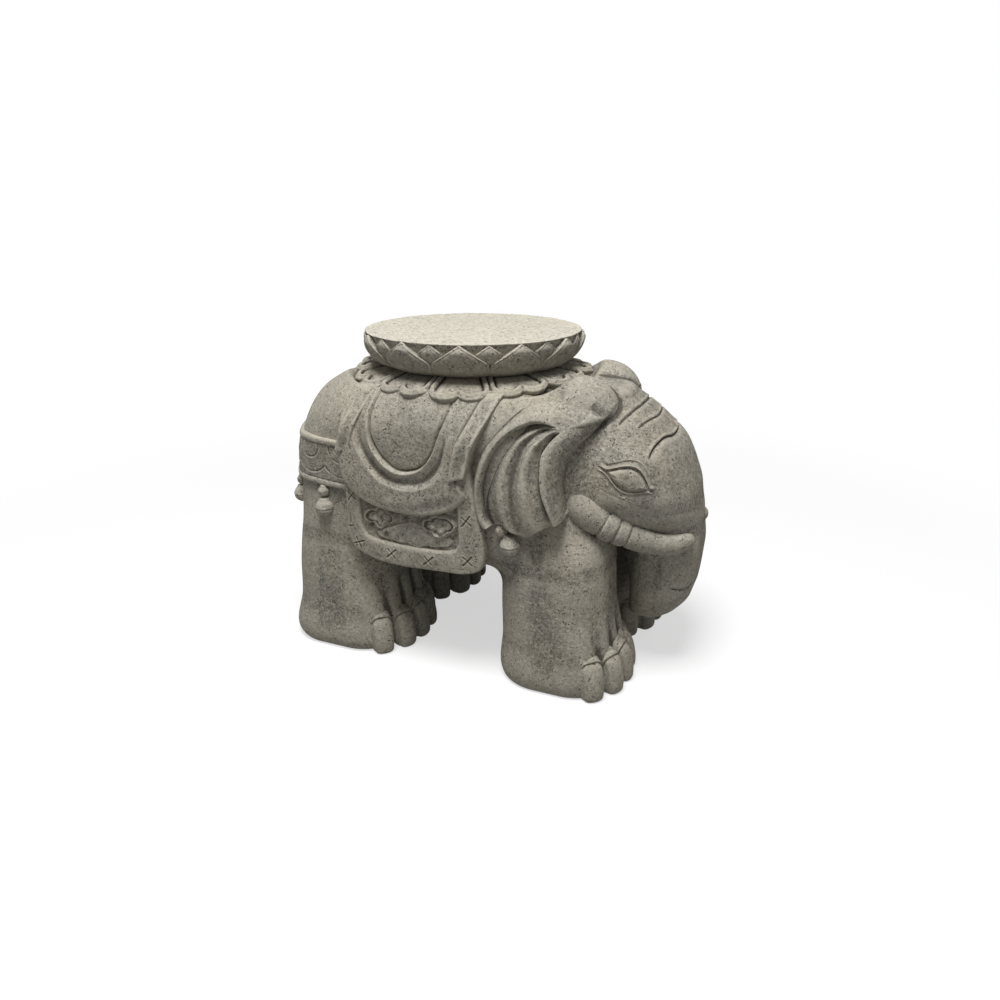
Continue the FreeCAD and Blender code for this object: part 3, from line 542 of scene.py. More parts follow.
def hemmed(count, radius, rings=6):
    """Stations across a strip with rounded hems: millimetres in, share of the rest, drop and sunk.

    Each hem is a quarter circle: a turn t from 0 to 90 degrees goes in by r(1 - cos t) and lies
    r(1 - sin t) lower.  The outermost station on each side repeats the edge and is sunk.
    """
    turn = np.linspace(0.0, np.pi / 2, rings)
    inset = radius * (1.0 - np.cos(turn))
    fall = radius * (1.0 - np.sin(turn))
    inner = np.linspace(0.0, 1.0, count)[1:-1]
    flat = np.full(count - 2, radius)
    near = np.concatenate([[0.0], inset, flat, 2 * radius - inset[::-1], [2 * radius]])
    share = np.concatenate([np.zeros(rings + 1), inner, np.ones(rings + 1)])
    drop = np.concatenate([[radius], fall, np.zeros(count - 2), fall[::-1], [radius]])
    sunk = np.zeros(len(near))
    sunk[[0, -1]] = 1.0
    return near, share, drop, sunk


def uneven(x, z, height):
    """Slow hand-cut unevenness: a sum of four skew waves of different lengths."""
    wave = np.sin(0.071 * x + 0.043 * z + 1.0) + np.sin(-0.052 * x + 0.089 * z + 2.3)
    wave = wave + 0.6 * np.sin(0.163 * x + 0.117 * z) + 0.5 * np.sin(-0.21 * x + 0.19 * z + 0.7)
    return height * wave / 3.0


def tube(path, radii, around, along, relief=None, tip=True):
    """Circles carried along a smooth path, rounded off at the far end if that is a tip.

    A point is the path's place plus the radius, and the relief of its share and turn, times the
    ring's outward way.  The last radius closes as the root of 1 - t^2.
    """
    length = np.linalg.norm(np.diff(np.asarray(path, float), axis=0), axis=1).sum()
    share = np.linspace(0.0, 1.0, along)
    if tip:
        cap = radii[-1] / length
        bend = np.linspace(0.0, np.pi / 2, 14)[1:]
        share = np.concatenate([np.linspace(0.0, 1.0 - cap, along), 1.0 - cap + cap * np.sin(bend)])
        close = np.concatenate([np.ones(along), np.maximum(np.cos(bend), 0.02)])
    else:
        close = np.ones(along)
    middle = through(path, share)
    fine = np.linspace(0.0, 1.0, 200)
    step_on = np.gradient(through(path, fine), axis=0)
    ahead = np.stack([np.interp(share, fine, step_on[:, k]) for k in range(3)], axis=-1)
    ahead = ahead / np.linalg.norm(ahead, axis=-1, keepdims=True)
    side = np.cross(ahead, (0.0, 1.0, 0.0))
    side = side / np.linalg.norm(side, axis=-1, keepdims=True)
    over = np.cross(side, ahead)
    stops = np.linspace(0.0, 1.0, len(radii))
    turn = 2.0 * np.pi * np.arange(around) / around
    size = eased(share, stops, radii)[:, None] + np.zeros(around)
    if relief is not None:
        size = size + relief(share[:, None], turn[None])
    size = size * close[:, None]
    out = np.cos(turn)[None, :, None] * side[:, None] + np.sin(turn)[None, :, None] * over[:, None]
    points = middle[:, None] + size[..., None] * out
    return shell(points, True, [middle[0], points[-1].mean(axis=0)])


def turned_shell(profile, middle, around, relief=None):
    """A profile of radius and height turned round an upright axis, with a relief of all three."""
    profile = np.asarray(profile, float)
    turn = 2.0 * np.pi * np.arange(around) / around
    radius = profile[:, :1] + np.zeros(around)
    height = profile[:, 1:] + np.zeros(around)
    if relief is not None:
        radius, height = relief(radius, height, turn[None])
    points = np.stack([
        middle[0] + radius * np.cos(turn),
        middle[1] + radius * np.sin(turn),
        middle[2] + height,
    ], axis=-1)
    return shell(points, True, [points[0].mean(axis=0), points[-1].mean(axis=0)])


def rays(starts, tilts, axis, first, second, columns):
    """Starts and ways of rays in rings: each ring leans from the axis by its tilt, from 0 along it."""
    turn = 2.0 * np.pi * np.arange(columns) / columns
    ring = np.cos(turn)[:, None] * np.asarray(first, float)
    ring = ring + np.sin(turn)[:, None] * np.asarray(second, float)
    lean = np.asarray(tilts, float)[:, None, None]
    way = np.cos(lean) * np.asarray(axis, float) + np.sin(lean) * ring[None]
    start = np.broadcast_to(np.asarray(starts, float)[:, None, :], way.shape)
    return start, way


def spine(start, end, count):
    """Points spread evenly along a straight line."""
    share = np.linspace(0.0, 1.0, count)[:, None]
    return np.asarray(start, float) * (1.0 - share) + np.asarray(end, float) * share


def torso_shell(detail):
    """Rays from a level axis: a fan of tilts at the rump, then rings across the axis to the head."""
    rump = np.array(RUMP_HEART)
    fan = np.linspace(POLE, np.pi / 2, int(95 * detail))
    front = np.array((HEAD_JOINT + LAP, *RUMP_HEART[1:]))
    rings = spine(rump, front, int(112 * detail))[1:]
    starts = np.concatenate([np.tile(rump, (len(fan), 1)), rings])
    tilts = np.concatenate([fan, np.full(len(rings), np.pi / 2)])

    def beyond(spot):
        legs = np.maximum(leg_depth(spot, True), leg_depth(spot, False))
        return np.maximum(legs, spot[..., 0] - HEAD_JOINT)

    def field(spot):
        return parted(body_field(spot), beyond(spot))

    start, way = rays(starts, tilts, BACK, RIGHT, UP, int(400 * detail))
    points = cast(field, start, way, 260.0)
    return shell(points, True, [points[0].mean(axis=0), front], step(beyond(points), *CALM))


def creased(points, field, middle, creases):
    """How deep creases cut: a round groove along a line cast onto the surface, with a lip above it."""
    near = right_side(points)
    sunk = np.zeros(points.shape[:2])
    for crease, (depth, width) in creases:
        way = through(crease, np.linspace(0.0, 1.0, 24)) - middle
        way = way / np.linalg.norm(way, axis=-1, keepdims=True)
        line = cast(field, middle, way, 240.0)
        gap = near_line(near, line)
        over = near_line(near, line + np.array((-1.2, 0.0, 2.8)))
        sunk += depth * bump_at(gap, 0.0, width) - 0.35 * depth * bump_at(over, 0.0, 1.6 * width)
    return sunk


def head_shell(detail):
    """Rays from the middle of the skull in rings that open from the brow to the neck joint."""
    middle = np.array(SKULL_HEART)
    tilts = np.linspace(POLE, np.radians(132), int(200 * detail))
    starts = np.tile(middle, (len(tilts), 1))

    def beyond(spot):
        past = np.minimum(TRUNK_JOINT - spot[..., 2], spot[..., 0] - TRUNK_BACK)
        past = np.maximum(past, LEG_JOINT - spot[..., 2])
        return np.maximum(past, HEAD_JOINT - spot[..., 0])

    def field(spot):
        return parted(body_field(spot), beyond(spot))

    start, way = rays(starts, tilts, AHEAD, RIGHT, UP, int(470 * detail))
    points = cast(field, start, way, 240.0)
    calm = step(beyond(points), *CALM)
    points = points - way * creased(points, field, middle, CREASES)[..., None]
    return shell(points, True, [points[0].mean(axis=0), middle - (46.0, 0.0, 0.0)], calm)


def trunk_shell(detail):
    """Rays from an upright axis down to the curl, then a fan of tilts that closes the end."""
    low = np.array(CURL_START)
    top = np.array((TRUNK_X, 0.0, TRUNK_JOINT + LAP))
    rings = spine(top, low, int(70 * detail))
    fan = np.linspace(np.pi / 2, POLE, int(52 * detail))[1:]
    starts = np.concatenate([rings, np.tile(low, (len(fan), 1))])
    tilts = np.concatenate([np.full(len(rings), np.pi / 2), fan])

    def beyond(spot):
        return np.maximum(spot[..., 2] - TRUNK_JOINT, TRUNK_BACK - spot[..., 0])

    def field(spot):
        return parted(face_field(spot), beyond(spot))

    start, way = rays(starts, tilts, DOWN, AHEAD, RIGHT, int(280 * detail))
    points = cast(field, start, way, 120.0)
    calm = step(beyond(points), *CALM)
    points = points - way * creased(points, field, np.array(CURL_HEART), TRUNK_CREASES)[..., None]
    return shell(points, True, [top, points[-1].mean(axis=0)], calm)


def leg_shell(detail, front):
    """Rays from an upright axis, from above the right leg's joint down to the sole.

    Between the toes grooves run up the foot and fade out, and over each toe the foot swells.
    """
    table = np.asarray(FRONT_LEG if front else REAR_LEG, float)
    toes = FRONT_TOES if front else REAR_TOES
    which = 0 if front else 1
    top = np.array((table[4, 1], -88.0, LEG_JOINT + LAP))
    sole = np.array((table[0, 1], table[0, 2], 0.0))
    rings = spine(top, sole, int(100 * detail))
    tilts = np.full(len(rings), np.pi / 2)

    def field(spot):
        distance = parted(barrel_field(spot), -leg_depth(spot, front))
        return smooth_most(distance, -spot[..., 2], 6.0)

    start, way = rays(rings, tilts, DOWN, AHEAD, RIGHT, int(300 * detail))
    points = cast(field, start, way, 140.0)
    ball = table[1]
    side = (ball[2] - points[..., 1]) / ball[4]
    height = points[..., 2]
    reach = TENDON_TOP[which]
    forward = step(points[..., 0] - ball[1], 5.0, 30.0)
    depth = TENDON_DEPTH[which] * step(height, reach, 30.0) * forward
    sunk = np.zeros(points.shape[:2])
    for one, two in zip(toes[:-1], toes[1:]):
        middle = 0.5 * (one[1] + two[1])
        sunk += depth * bump_at(side, middle, 0.065 + 0.03 * step(height, 30.0, reach))
    swell = sum(bump_at(side, outward, 0.14) for _, outward in toes)
    swell = TOE_SWELL[which] * swell * step(height, 116.0, 58.0) * step(height, 16.0, 44.0)
    swell = swell * forward
    calm = step(-leg_depth(points, front), *CALM)
    points = points + way * (swell - sunk)[..., None]
    return shell(points, True, [top, sole], calm)


def ear_ball(x, z):
    """Outward Y of the round form that the right ear follows: an ellipsoid's front half."""
    centre, half_sizes = EAR_BALL
    share = ((x - centre[0]) / half_sizes[0]) ** 2 + ((z - centre[2]) / half_sizes[2]) ** 2
    return centre[1] - half_sizes[1] * np.sqrt(np.maximum(1.0 - share, 0.0))


def ear_plan(across, low, above):
    """X and Z of each spot of the ear: straight runs between its curves, and a bent run over the flap.

    The stations across go from 0 at the back edge over 1 at the groove and 2 at the fold to 4 at
    the head.  The flap is a quadratic curve from the fold to its root, bent by the crease.
    """
    outer, inner, fold, crease = (through(line, low, even=True) for line in EAR_CURVES)
    opened = np.clip(above / 0.5, 0.0, 1.0)[..., None] * np.array(EAR_OPENED)
    inner, fold = inner + opened, fold + opened
    part = np.clip(across - 1.0, 0.0, 1.0)
    turn = np.clip(0.5 * (across - 2.0), 0.0, 1.0)[..., None]
    root = crease + np.array((-6.0, 0.0))
    rolled = fold * (1 - turn) ** 2 + 2 * turn * (1 - turn) * (crease + (8.0, 0.0)) + root * turn**2
    in_shell = (across >= 1) & (across < 2)
    place = np.where((across < 1)[..., None], outer + (inner - outer) * across[..., None], rolled)
    place = np.where(in_shell[..., None], inner + (fold - inner) * part[..., None], place)
    point = np.interp(part, *EAR_POINT)
    return place[..., 0], place[..., 1] - 1.15 * point * step(low, 0.72, 1.0) * in_shell


def ear_rise(across, low):
    """How far the ear stands out from the round form: rim, groove with two flutes, then the lip."""
    open_up = step(low, 0.02, 0.3)
    over = np.clip(across, 0.0, 1.0)
    slope = 1.0 - 0.85 * open_up * (2.0 * over - 1.0) ** 3
    rim = -5.0 + 16.0 * np.where(over < 0.5, np.sin(np.pi * over) ** 0.6, slope)
    part = np.clip(across - 1.0, 0.0, 1.0)
    groove = (11.0 - 24.0 * open_up) * (1.0 - 0.5 * step(low, 0.62, 1.0))
    flutes = ridges(part, EAR_FLUTES) * step(low, 0.06, 0.4) * (1.0 - 0.35 * step(low, 0.7, 1.0))
    end_groove = -1.5 * step(part, 0.86, 0.98) * open_up
    lip = 11.0 + (2.5 * bump_at(across - 2.0, 0.18, 0.2) - 7.0) * open_up
    rise = np.where(across < 1, rim, groove + flutes + end_groove)
    rise = np.where(across >= 2, lip * (1.0 - np.clip(across - 2.0, 0.0, 1.0)), rise)
    return rise * (1.0 - 0.5 * step(low, 0.25, 0.0))


def ear_shell(detail):
    """The right ear: a net of curves down the ear, lifted and sunk across it, joined to the head.

    Across from the back edge come a round rim, a deep groove, a shell with two flutes, and a
    flap that rolls over inward to the head.  Each spot is then pushed out along a ray from the
    skull to where the body's own surface and the ear's meet in a fillet.
    """
    rim, shell_part, flap, wall = (int(count * detail) for count in (34, 110, 44, 24))
    stops = np.concatenate([
        np.linspace(0.0, 1.0, rim, endpoint=False),
        np.linspace(1.0, 2.0, shell_part, endpoint=False),
        np.linspace(2.0, 3.0, flap, endpoint=False),
        np.linspace(3.0, 4.0, wall),
    ])
    rows = int(250 * detail)
    down = np.concatenate([np.linspace(-EAR_ABOVE, 1.0, rows), np.full(EAR_TUCK_ROWS, 1.0)])
    under = np.concatenate([np.zeros(rows), np.linspace(0.08, 1.0, EAR_TUCK_ROWS)])
    across, along = np.meshgrid(stops, down)
    tuck = np.broadcast_to(under[:, None], across.shape)
    low = np.maximum(along, 0.0)
    above = np.maximum(-along, 0.0) / EAR_ABOVE
    x, z = ear_plan(across, low, above)
    rolled = np.clip(0.5 * (across - 2.0), 0.0, 1.0)
    dive = np.clip((above - 0.35) / 0.65, 0.0, 1.0)
    y = ear_ball(x, z) - ear_rise(across, low) + 75.0 * rolled**2.2 * (across > 2)
    y = y + 46.0 * tuck + 34.0 * dive**1.6
    z = z + 10.0 * tuck + 8.0 * dive
    heart = np.array(EAR_HEART)
    offset = np.stack([x, y, z], axis=-1) - heart
    length = np.linalg.norm(offset, axis=-1, keepdims=True)
    way = offset / length
    skin = np.linalg.norm(cast(body_field, heart, way, 260.0) - heart, axis=-1)
    width = 1.5 + 7.0 * step(low, 0.55, 0.15) + 6.0 * step(low, 0.3, 0.0) * step(across, 0.0, 1.0)
    width = width + 9.0 * step(across, 2.2, 3.2)
    reach = smooth_most(length[..., 0], skin - 1.2, width)
    points = heart + way * reach[..., None]
    return shell(points, False, [heart + (10.0, 0.0, 0.0)])


# Cloth lines on the right side, as X and Z at matching stations from the rear top round to the front.
# Lines of one cloth go from its outer edge to its inner edge.
BORDER_CURVES = (
    (
        (-163, 300), (-161, 270), (-161, 240), (-162, 212), (-160, 187), (-150, 166), (-122, 155),
        (-92, 152), (-58, 152), (-20, 154), (14, 155.5), (38, 164), (44.5, 184), (43, 205), (38, 230),
        (32, 260), (24, 300),
    ),
    (
        (-138, 300), (-138, 270), (-138, 244), (-138, 222), (-136, 203), (-129, 189), (-112, 184.5),
        (-87, 183), (-60, 183), (-33, 183.5), (-10, 185), (3, 188.5), (8.5, 198), (9.5, 213), (8, 235),
        (7, 262), (6, 300),
    ),
)
# The crosses cut into the border: X, Z and lean in degrees, then each stroke's own lean and half length.
CROSS_MARKS = (
    (-150, 243, 10), (-161, 197, -35), (-143, 176, -20), (-90, 169, 0), (-34, 168, 0), (22, 176, 8),
    (21, 232, 12),
)
CROSS_STROKES = ((42.0, 9.5), (-46.0, 8.0))
SWAG_CURVES = (
    (
        (-155, 388), (-160, 368), (-166, 340), (-168, 308), (-163, 272), (-147, 251), (-116, 236),
        (-78, 231), (-40, 232), (-6, 241), (13, 253), (21.5, 265), (15, 274.5), (2, 281), (6, 300),
        (10, 330), (20, 360), (30, 388),
    ),
    (
        (-136, 388), (-139.5, 368), (-142, 344), (-139, 318), (-126, 296), (-112, 280), (-92, 268),
        (-69, 264), (-47, 266), (-28, 273), (-14, 286), (-8, 296), (-5, 306), (-3, 318), (-1, 330),
        (2, 346), (6, 366), (12, 388),
    ),
    (
        (-111, 388), (-117, 370), (-119.5, 350), (-116, 326), (-108, 311), (-97, 299), (-83, 290),
        (-70, 287), (-56, 289), (-44, 294), (-34, 302), (-27, 312), (-22, 322), (-18, 334), (-14, 346),
        (-9, 360), (-5, 375), (-1, 388),
    ),
)
# The rear and the front edge of each ribbon, from the top down; the tip is a second fold below.
REAR_RIBBON = (
    ((-143, 390), (-150, 370), (-158, 345), (-165, 322), (-169.5, 306)),
    ((-117, 390), (-127, 371), (-137, 346), (-144, 321), (-147.5, 300)),
)
FRONT_TIP = (
    ((0.5, 292), (5, 283), (11, 274), (16, 264)),
    ((23.5, 296), (24, 285), (23, 274), (20.5, 266)),
)
FRONT_RIBBON = (
    ((30, 390), (20, 358), (9, 330), (3, 306), (0.8, 285)),
    ((54, 390), (43, 360), (33, 334), (26.5, 310), (22.5, 291)),
)
# Each hanging ribbon's folds: share of its points, edge lines, thickness at the low end, depth of roll.
RIBBONS = {
    "rear_ribbon": ((1.0, REAR_RIBBON, 19.0, 1.0),),
    "front_ribbon": ((1.0, FRONT_RIBBON, 22.0, 1.0), (0.5, FRONT_TIP, 16.5, 1.3)),
}
# Thicknesses of the cloths on the torso; the border of each is sunk into it.
BORDER_THICK = 13.0
FIELD_THICK = 7.0
SWAG_THICK = 12.5
SEAT_CLOTH_THICK = 8.0
RIBBON_THICK = 9.5
CLOTH_SUNK = 4.0
CLOTH_HEART = (-58.0, -96.0, 268.0)
# The rough panel inside the border: its ends as X, and its lower edge's and its top's Z.
FIELD_ENDS = (-146.0, 12.0)
FIELD_LOW = (178.0, 179.0)
FIELD_TOP = 300.0
# The middle of the seat cloth, as X and Z, and how far its outline grows past the swag's inner edge.
SEAT_CLOTH_HEART = (-62.0, 345.0)
SEAT_CLOTH_GROWN = 1.05

# Where a relief is asked for: shares across and along, the fold's share across, and X and Z.
Spots = namedtuple("Spots", ("share", "fold", "along", "x", "z"))


def drape(x, z, thick):
    """Outward distance of cloth on the side: the torso's section grown by the cloth, with a hem corner."""
    rows = np.asarray(TORSO, float)
    sizes = eased(x, rows[:, 0], rows[:, 1:])
    grown = thick * (1.0 - 0.7 * step(z, 325.0, 395.0))
    rise = z - sizes[..., 0]
    corner = np.where(rise > 0, sizes[..., 3] + grown, 26.0)
    past = np.clip(np.abs(rise) - sizes[..., 2] - grown + corner, 0.0, corner)
    return sizes[..., 1] + grown - corner + np.sqrt(corner**2 - past**2)


def chiselled(x, z, height):
    """The short unevenness that the chisel left on the panel."""
    return uneven(1.7 * x, 1.9 * z, height)


def cloth_patch(curves, counts, radius, thick, relief):
    """A cloth between curves, hemmed on all sides, lying on the torso at a thickness plus a relief.

    A spot goes along the curves by length and across them in straight runs.  Its outward distance
    is the drape's, plus the relief of the place, less the drop of the nearer hem.  The thickness is
    a number, or a function of the share along.
    """
    curves = np.asarray(curves, float)
    count = curves.shape[1]
    mean = curves.mean(axis=0)
    stops = np.concatenate([[0.0], np.cumsum(np.linalg.norm(np.diff(mean, axis=0), axis=1))])
    near, part, drop_along, sunk_along = hemmed(counts[0], radius)
    along = (near + part * (stops[-1] - 2 * radius)) / stops[-1]
    at = np.interp(along, stops / stops[-1], np.linspace(0.0, 1.0, count))
    lines = [through(curve, at, even=True) for curve in curves]
    widths = np.stack([np.linalg.norm(b - a, axis=-1) for a, b in zip(lines[:-1], lines[1:])])
    edges = np.concatenate([np.zeros((1, len(at))), np.cumsum(widths, axis=0)])
    near, part, drop, sunk = hemmed(counts[1], radius)
    across = near + part * (edges[-1][:, None] - 2 * radius)
    place = np.zeros(across.shape + (2,))
    for number, (one, two) in enumerate(zip(lines[:-1], lines[1:])):
        share = (across - edges[number][:, None]) / np.maximum(widths[number][:, None], 1e-6)
        chosen = (share >= 0.0) if number else np.ones(share.shape, bool)
        run = one[:, None] + (two - one)[:, None] * share[..., None]
        place = np.where(chosen[..., None], run, place)
    x, z = place[..., 0], place[..., 1]
    share = across / edges[-1][:, None]
    fold = edges[1][:, None] / edges[-1][:, None]
    along = along[:, None]
    lying = drape(x, z, thick(along) if callable(thick) else thick)
    out = lying + relief(Spots(share, fold, along, x, z)) - np.maximum(drop[None], drop_along[:, None])
    under = np.maximum(sunk[None], sunk_along[:, None])
    out = np.where(under > 0, np.minimum(out, drape(x, z, 0.0) - CLOTH_SUNK), out)
    points = np.stack([x, -out, z], axis=-1)
    return shell(points, False, [CLOTH_HEART])


def cross_cut(x, z):
    """How deep the crossed chisel strokes cut at a place of the border."""
    spots = np.stack([x, z], axis=-1)
    cut = np.zeros(x.shape)
    for middle_x, middle_z, lean in CROSS_MARKS:
        middle = np.array((middle_x, middle_z), float)
        for stroke_lean, reach in CROSS_STROKES:
            turn = math.radians(stroke_lean + lean)
            way = np.array((math.cos(turn), math.sin(turn))) * reach
            gap = near_line(spots, (middle - way, middle + way))
            cut = cut + 1.7 * bump_at(gap, 0.0, 0.9) - 0.4 * bump_at(gap, 2.1, 1.0)
    return cut


def border_shell(detail):
    """The raised border of the saddle cloth: a flat strip with round hems and crossed cuts."""

    def relief(at):
        crown = 1.2 * (1.0 - (2.0 * at.share - 1.0) ** 2)
        return crown + uneven(at.x, at.z, 0.9) - cross_cut(at.x, at.z)

    return cloth_patch(BORDER_CURVES, (int(620 * detail), int(34 * detail)), 3.4, BORDER_THICK, relief)


def field_shell(detail):
    """The recessed panel inside the border, left rough by the chisel."""
    ends = np.linspace(*FIELD_ENDS, 9)
    low = np.stack([ends, np.linspace(*FIELD_LOW, 9)], axis=-1)
    high = np.stack([ends, np.full(9, FIELD_TOP)], axis=-1)

    def relief(at):
        return chiselled(at.x, at.z, 1.0)

    counts = (int(110 * detail), int(90 * detail))
    spots, quads, triangles, depth = cloth_patch((low, high), counts, 2.0, FIELD_THICK, relief)
    # The crevice value of the whole recessed panel is raised, so its colour is darker: painted shade in the
    # recess.
    return spots, quads, triangles, np.clip(depth + 0.16, 0.0, 1.0)


def boss_shell(middle, outline, height, counts, knobs=(), rim=0.0, grow=1.0):
    """A low boss on the panel: rings out from its middle to a wavy outline, sunk at the border.

    Its height is flat inside and falls round at the edge, with a rounded rim and knobs on it.  Each
    knob has X, Z, width and height, and a negative height makes a dimple.
    """
    outline = (np.asarray(outline, float) - np.asarray(middle, float)) * grow
    loop = np.concatenate([outline, outline[:1]])
    angles = np.unwrap(np.arctan2(loop[:, 1], loop[:, 0]))
    if angles[-1] < angles[0]:
        angles, loop = angles[::-1], loop[::-1]
    reach = np.hypot(loop[:, 0], loop[:, 1])
    turn = angles[0] + 2.0 * np.pi * np.arange(counts[1]) / counts[1]
    wide = np.concatenate([angles[:-1] - 2.0 * np.pi, angles, angles[1:] + 2.0 * np.pi])
    far = eased(turn, wide, np.concatenate([reach[:-1], reach, reach[1:]]))
    outer = 1.0 - 0.2 * np.cos(np.linspace(0.0, np.pi / 2, 12))[1:]
    ring = np.concatenate([np.linspace(0.03, 0.8, counts[0]), outer, [1.0]])
    x = middle[0] + ring[:, None] * far[None] * np.cos(turn)
    z = middle[1] + ring[:, None] * far[None] * np.sin(turn)
    edge = (1.0 - ring[:, None]) * far[None]
    lift = height * rounded_edge(edge, 3.0)
    lift = lift + rim * bump_at(edge, 3.4, 1.9) - 0.5 * rim * bump_at(edge, 7.4, 2.2)
    for knob_x, knob_z, size, tall in knobs:
        lift = lift + tall * bump_at(np.hypot(x - knob_x, z - knob_z), 0.0, size)
    out = drape(x, z, FIELD_THICK) + lift + chiselled(x, z, 0.8)
    out[-1] = drape(x[-1], z[-1], 0.0) - CLOTH_SUNK
    points = np.stack([x, -out, z], axis=-1)
    heart = (middle[0], -120.0, middle[1] + 20.0)
    return shell(points, True, [points[0].mean(axis=0), heart])


REAR_CLOUD = (
    (-131, 214), (-128, 222), (-122, 227), (-114, 229), (-108, 233), (-100, 232), (-95, 227), (-89, 224),
    (-86, 218), (-90, 213), (-97, 213), (-101, 208), (-107, 202), (-113, 205), (-117, 209), (-124, 208),
)
REAR_KNOBS = ((-114, 215, 5.0, 4.2), (-104, 219, 4.2, -1.2), (-108, 208, 3.0, 1.4))
FRONT_CLOUD = (
    (-41, 217), (-39, 224), (-32, 227), (-26, 232), (-17, 233), (-8, 232), (0, 228), (3.5, 222), (1, 215),
    (-5, 211), (-10, 206), (-18, 203), (-25, 205), (-29, 210), (-36, 211),
)
FRONT_KNOBS = ((-26, 216, 4.2, 3.8), (-15, 211, 4.6, 3.8), (-21, 206, 3.4, 2.4), (-13, 221, 4.0, -1.4))
MOUND = (
    (-116, 195), (-106, 200), (-93, 206), (-80, 212), (-66, 217), (-53, 218), (-40, 213), (-22, 208),
    (-6, 205), (1, 199), (-4, 192), (-16, 189), (-40, 186.5), (-66, 186), (-92, 187), (-110, 189),
)
# Of the clouds: height, height of the rim, and how far the outline grows.
CLOUD_FORM = (3.8, 1.7, 1.16)
MOUND_HEIGHT = 2.9


def relief_shells(detail):
    """Two cloud scrolls with a rim and curled knobs, and the low mound between them."""
    counts = (int(26 * detail), int(150 * detail))
    high, rim, grow = CLOUD_FORM
    return [
        boss_shell((-109.0, 217.5), REAR_CLOUD, high, counts, REAR_KNOBS, rim, grow),
        boss_shell((-19.0, 217.0), FRONT_CLOUD, high, counts, FRONT_KNOBS, rim, grow),
        boss_shell((-58.0, 200.0), MOUND, MOUND_HEIGHT, counts),
    ]


def swag_shell(detail):
    """The draped upper cloth: a round lower roll, a sharp fold, a valley and a lip round the seat cloth.

    With s the share from the outer hem to the fold, the roll rises as 2.6 sin(pi s) + 2.6 s^4.  With
    s from the fold to the inner lip, the valley falls off within 0.45 and climbs back to the lip.
    """

    def relief(at):
        low_part = np.clip(at.share / at.fold, 0.0, 1.0)
        high_part = np.clip((at.share - at.fold) / (1.0 - at.fold), 0.0, 1.0)
        roll = 2.6 * np.sin(np.pi * low_part) + 2.6 * low_part**4
        hollow = 2.6 - 6.2 * step(high_part, 0.0, 0.45) + 3.4 * step(high_part, 0.5, 1.0)
        lip = 1.2 * bump_at(high_part, 0.94, 0.05)
        ends = step(at.along, 0.02, 0.25) * step(at.along, 0.98, 0.72)
        curl = bump_at(at.along, 0.6, 0.05) * (1.0 - low_part)
        body = np.where(at.share < at.fold, roll, hollow + lip) * (0.45 + 0.55 * ends)
        return body + uneven(at.x, at.z, 0.8) - 3.0 * curl * bump_at(low_part, 0.35, 0.18)

    def thick(along):
        return SWAG_THICK + 6.0 * step(along, 0.12, 0.3) * step(along, 0.95, 0.6)

    return cloth_patch(SWAG_CURVES, (int(430 * detail), int(74 * detail)), 4.2, thick, relief)


def seat_cloth_shell(detail):
    """The plain cloth inside the swag, softly bulging from the groove round it."""
    inner = np.asarray(SWAG_CURVES[2], float)
    middle = np.array(SEAT_CLOTH_HEART)
    grown = middle + (inner - middle) * SEAT_CLOTH_GROWN
    rear, front = grown[:9], grown[9:][::-1]
    rear_line = through(rear, np.linspace(0.0, 1.0, 17))
    front_line = through(np.concatenate([front, grown[8:9] + (3.0, -0.5)]), np.linspace(0.0, 1.0, 17))

    def relief(at):
        spots = np.stack([at.x, at.z], axis=-1)
        edge = near_line(spots, through(inner, np.linspace(0.0, 1.0, 60)))
        groove = 2.0 * bump_at(edge, 2.0, 2.0)
        return 4.4 * rounded_edge(edge, 26.0) - groove + uneven(0.8 * at.x, 0.9 * at.z, 0.9)

    counts = (int(100 * detail), int(110 * detail))
    return cloth_patch((rear_line, front_line), counts, 1.5, SEAT_CLOTH_THICK, relief)


def ribbon_shell(detail, curves, thick_low, lean):
    """A hanging ribbon: it thickens downward, rolled along one edge and dished along the other."""

    def relief(at):
        roll = lean * 2.4 * (bump_at(at.share, 0.22, 0.2) - 0.7 * bump_at(at.share, 0.72, 0.2))
        tip = step(at.along, 0.8, 1.0)
        return roll * step(at.along, 0.1, 0.5) + tip + uneven(at.x, at.z, 0.7)

    def thick(along):
        return RIBBON_THICK + (thick_low - RIBBON_THICK) * step(along, 0.05, 0.6)

    return cloth_patch(curves, (int(120 * detail), int(34 * detail)), 3.2, thick, relief)


# The petals: first turn in degrees, how far each one's turn and tip vary and in what phase, heights of
# the stations above the seat's base, half widths there, the last one at the tip, then how far the edge
# and the crown stand off the bowl, the height of the edge's ridge, and the points up and across.
Petals = namedtuple("Petals", "turn sway phase stations tip reach halves form points")
PETALS = {
    "large_petals": Petals(
        turn=PETAL_TURN, sway=0.5, phase=0.5,
        stations=(20.4, 27.0, 33.0, 38.0, 43.0, 48.0, 53.0, 58.0, 62.0), tip=65.0, reach=0.4,
        halves=(30.8, 34.6, 36.7, 37.2, 33.6, 26.6, 19.2, 11.6, 5.4, 0.8),
        form=(2.0, 3.0, 0.45), points=(64, 54),
    ),
    "small_petals": Petals(
        turn=PETAL_TURN - 15, sway=0.6, phase=1.9,
        stations=(41.0, 45.0, 49.0, 53.0, 57.0, 61.0), tip=64.8, reach=0.3,
        halves=(5.0, 11.0, 15.2, 16.6, 12.2, 6.2, 0.8),
        form=(-0.6, 1.4, 0.4), points=(36, 34),
    ),
}
PETAL_COUNT = 12
PETAL_PITCH = 30
PETAL_SUNK = -7.0
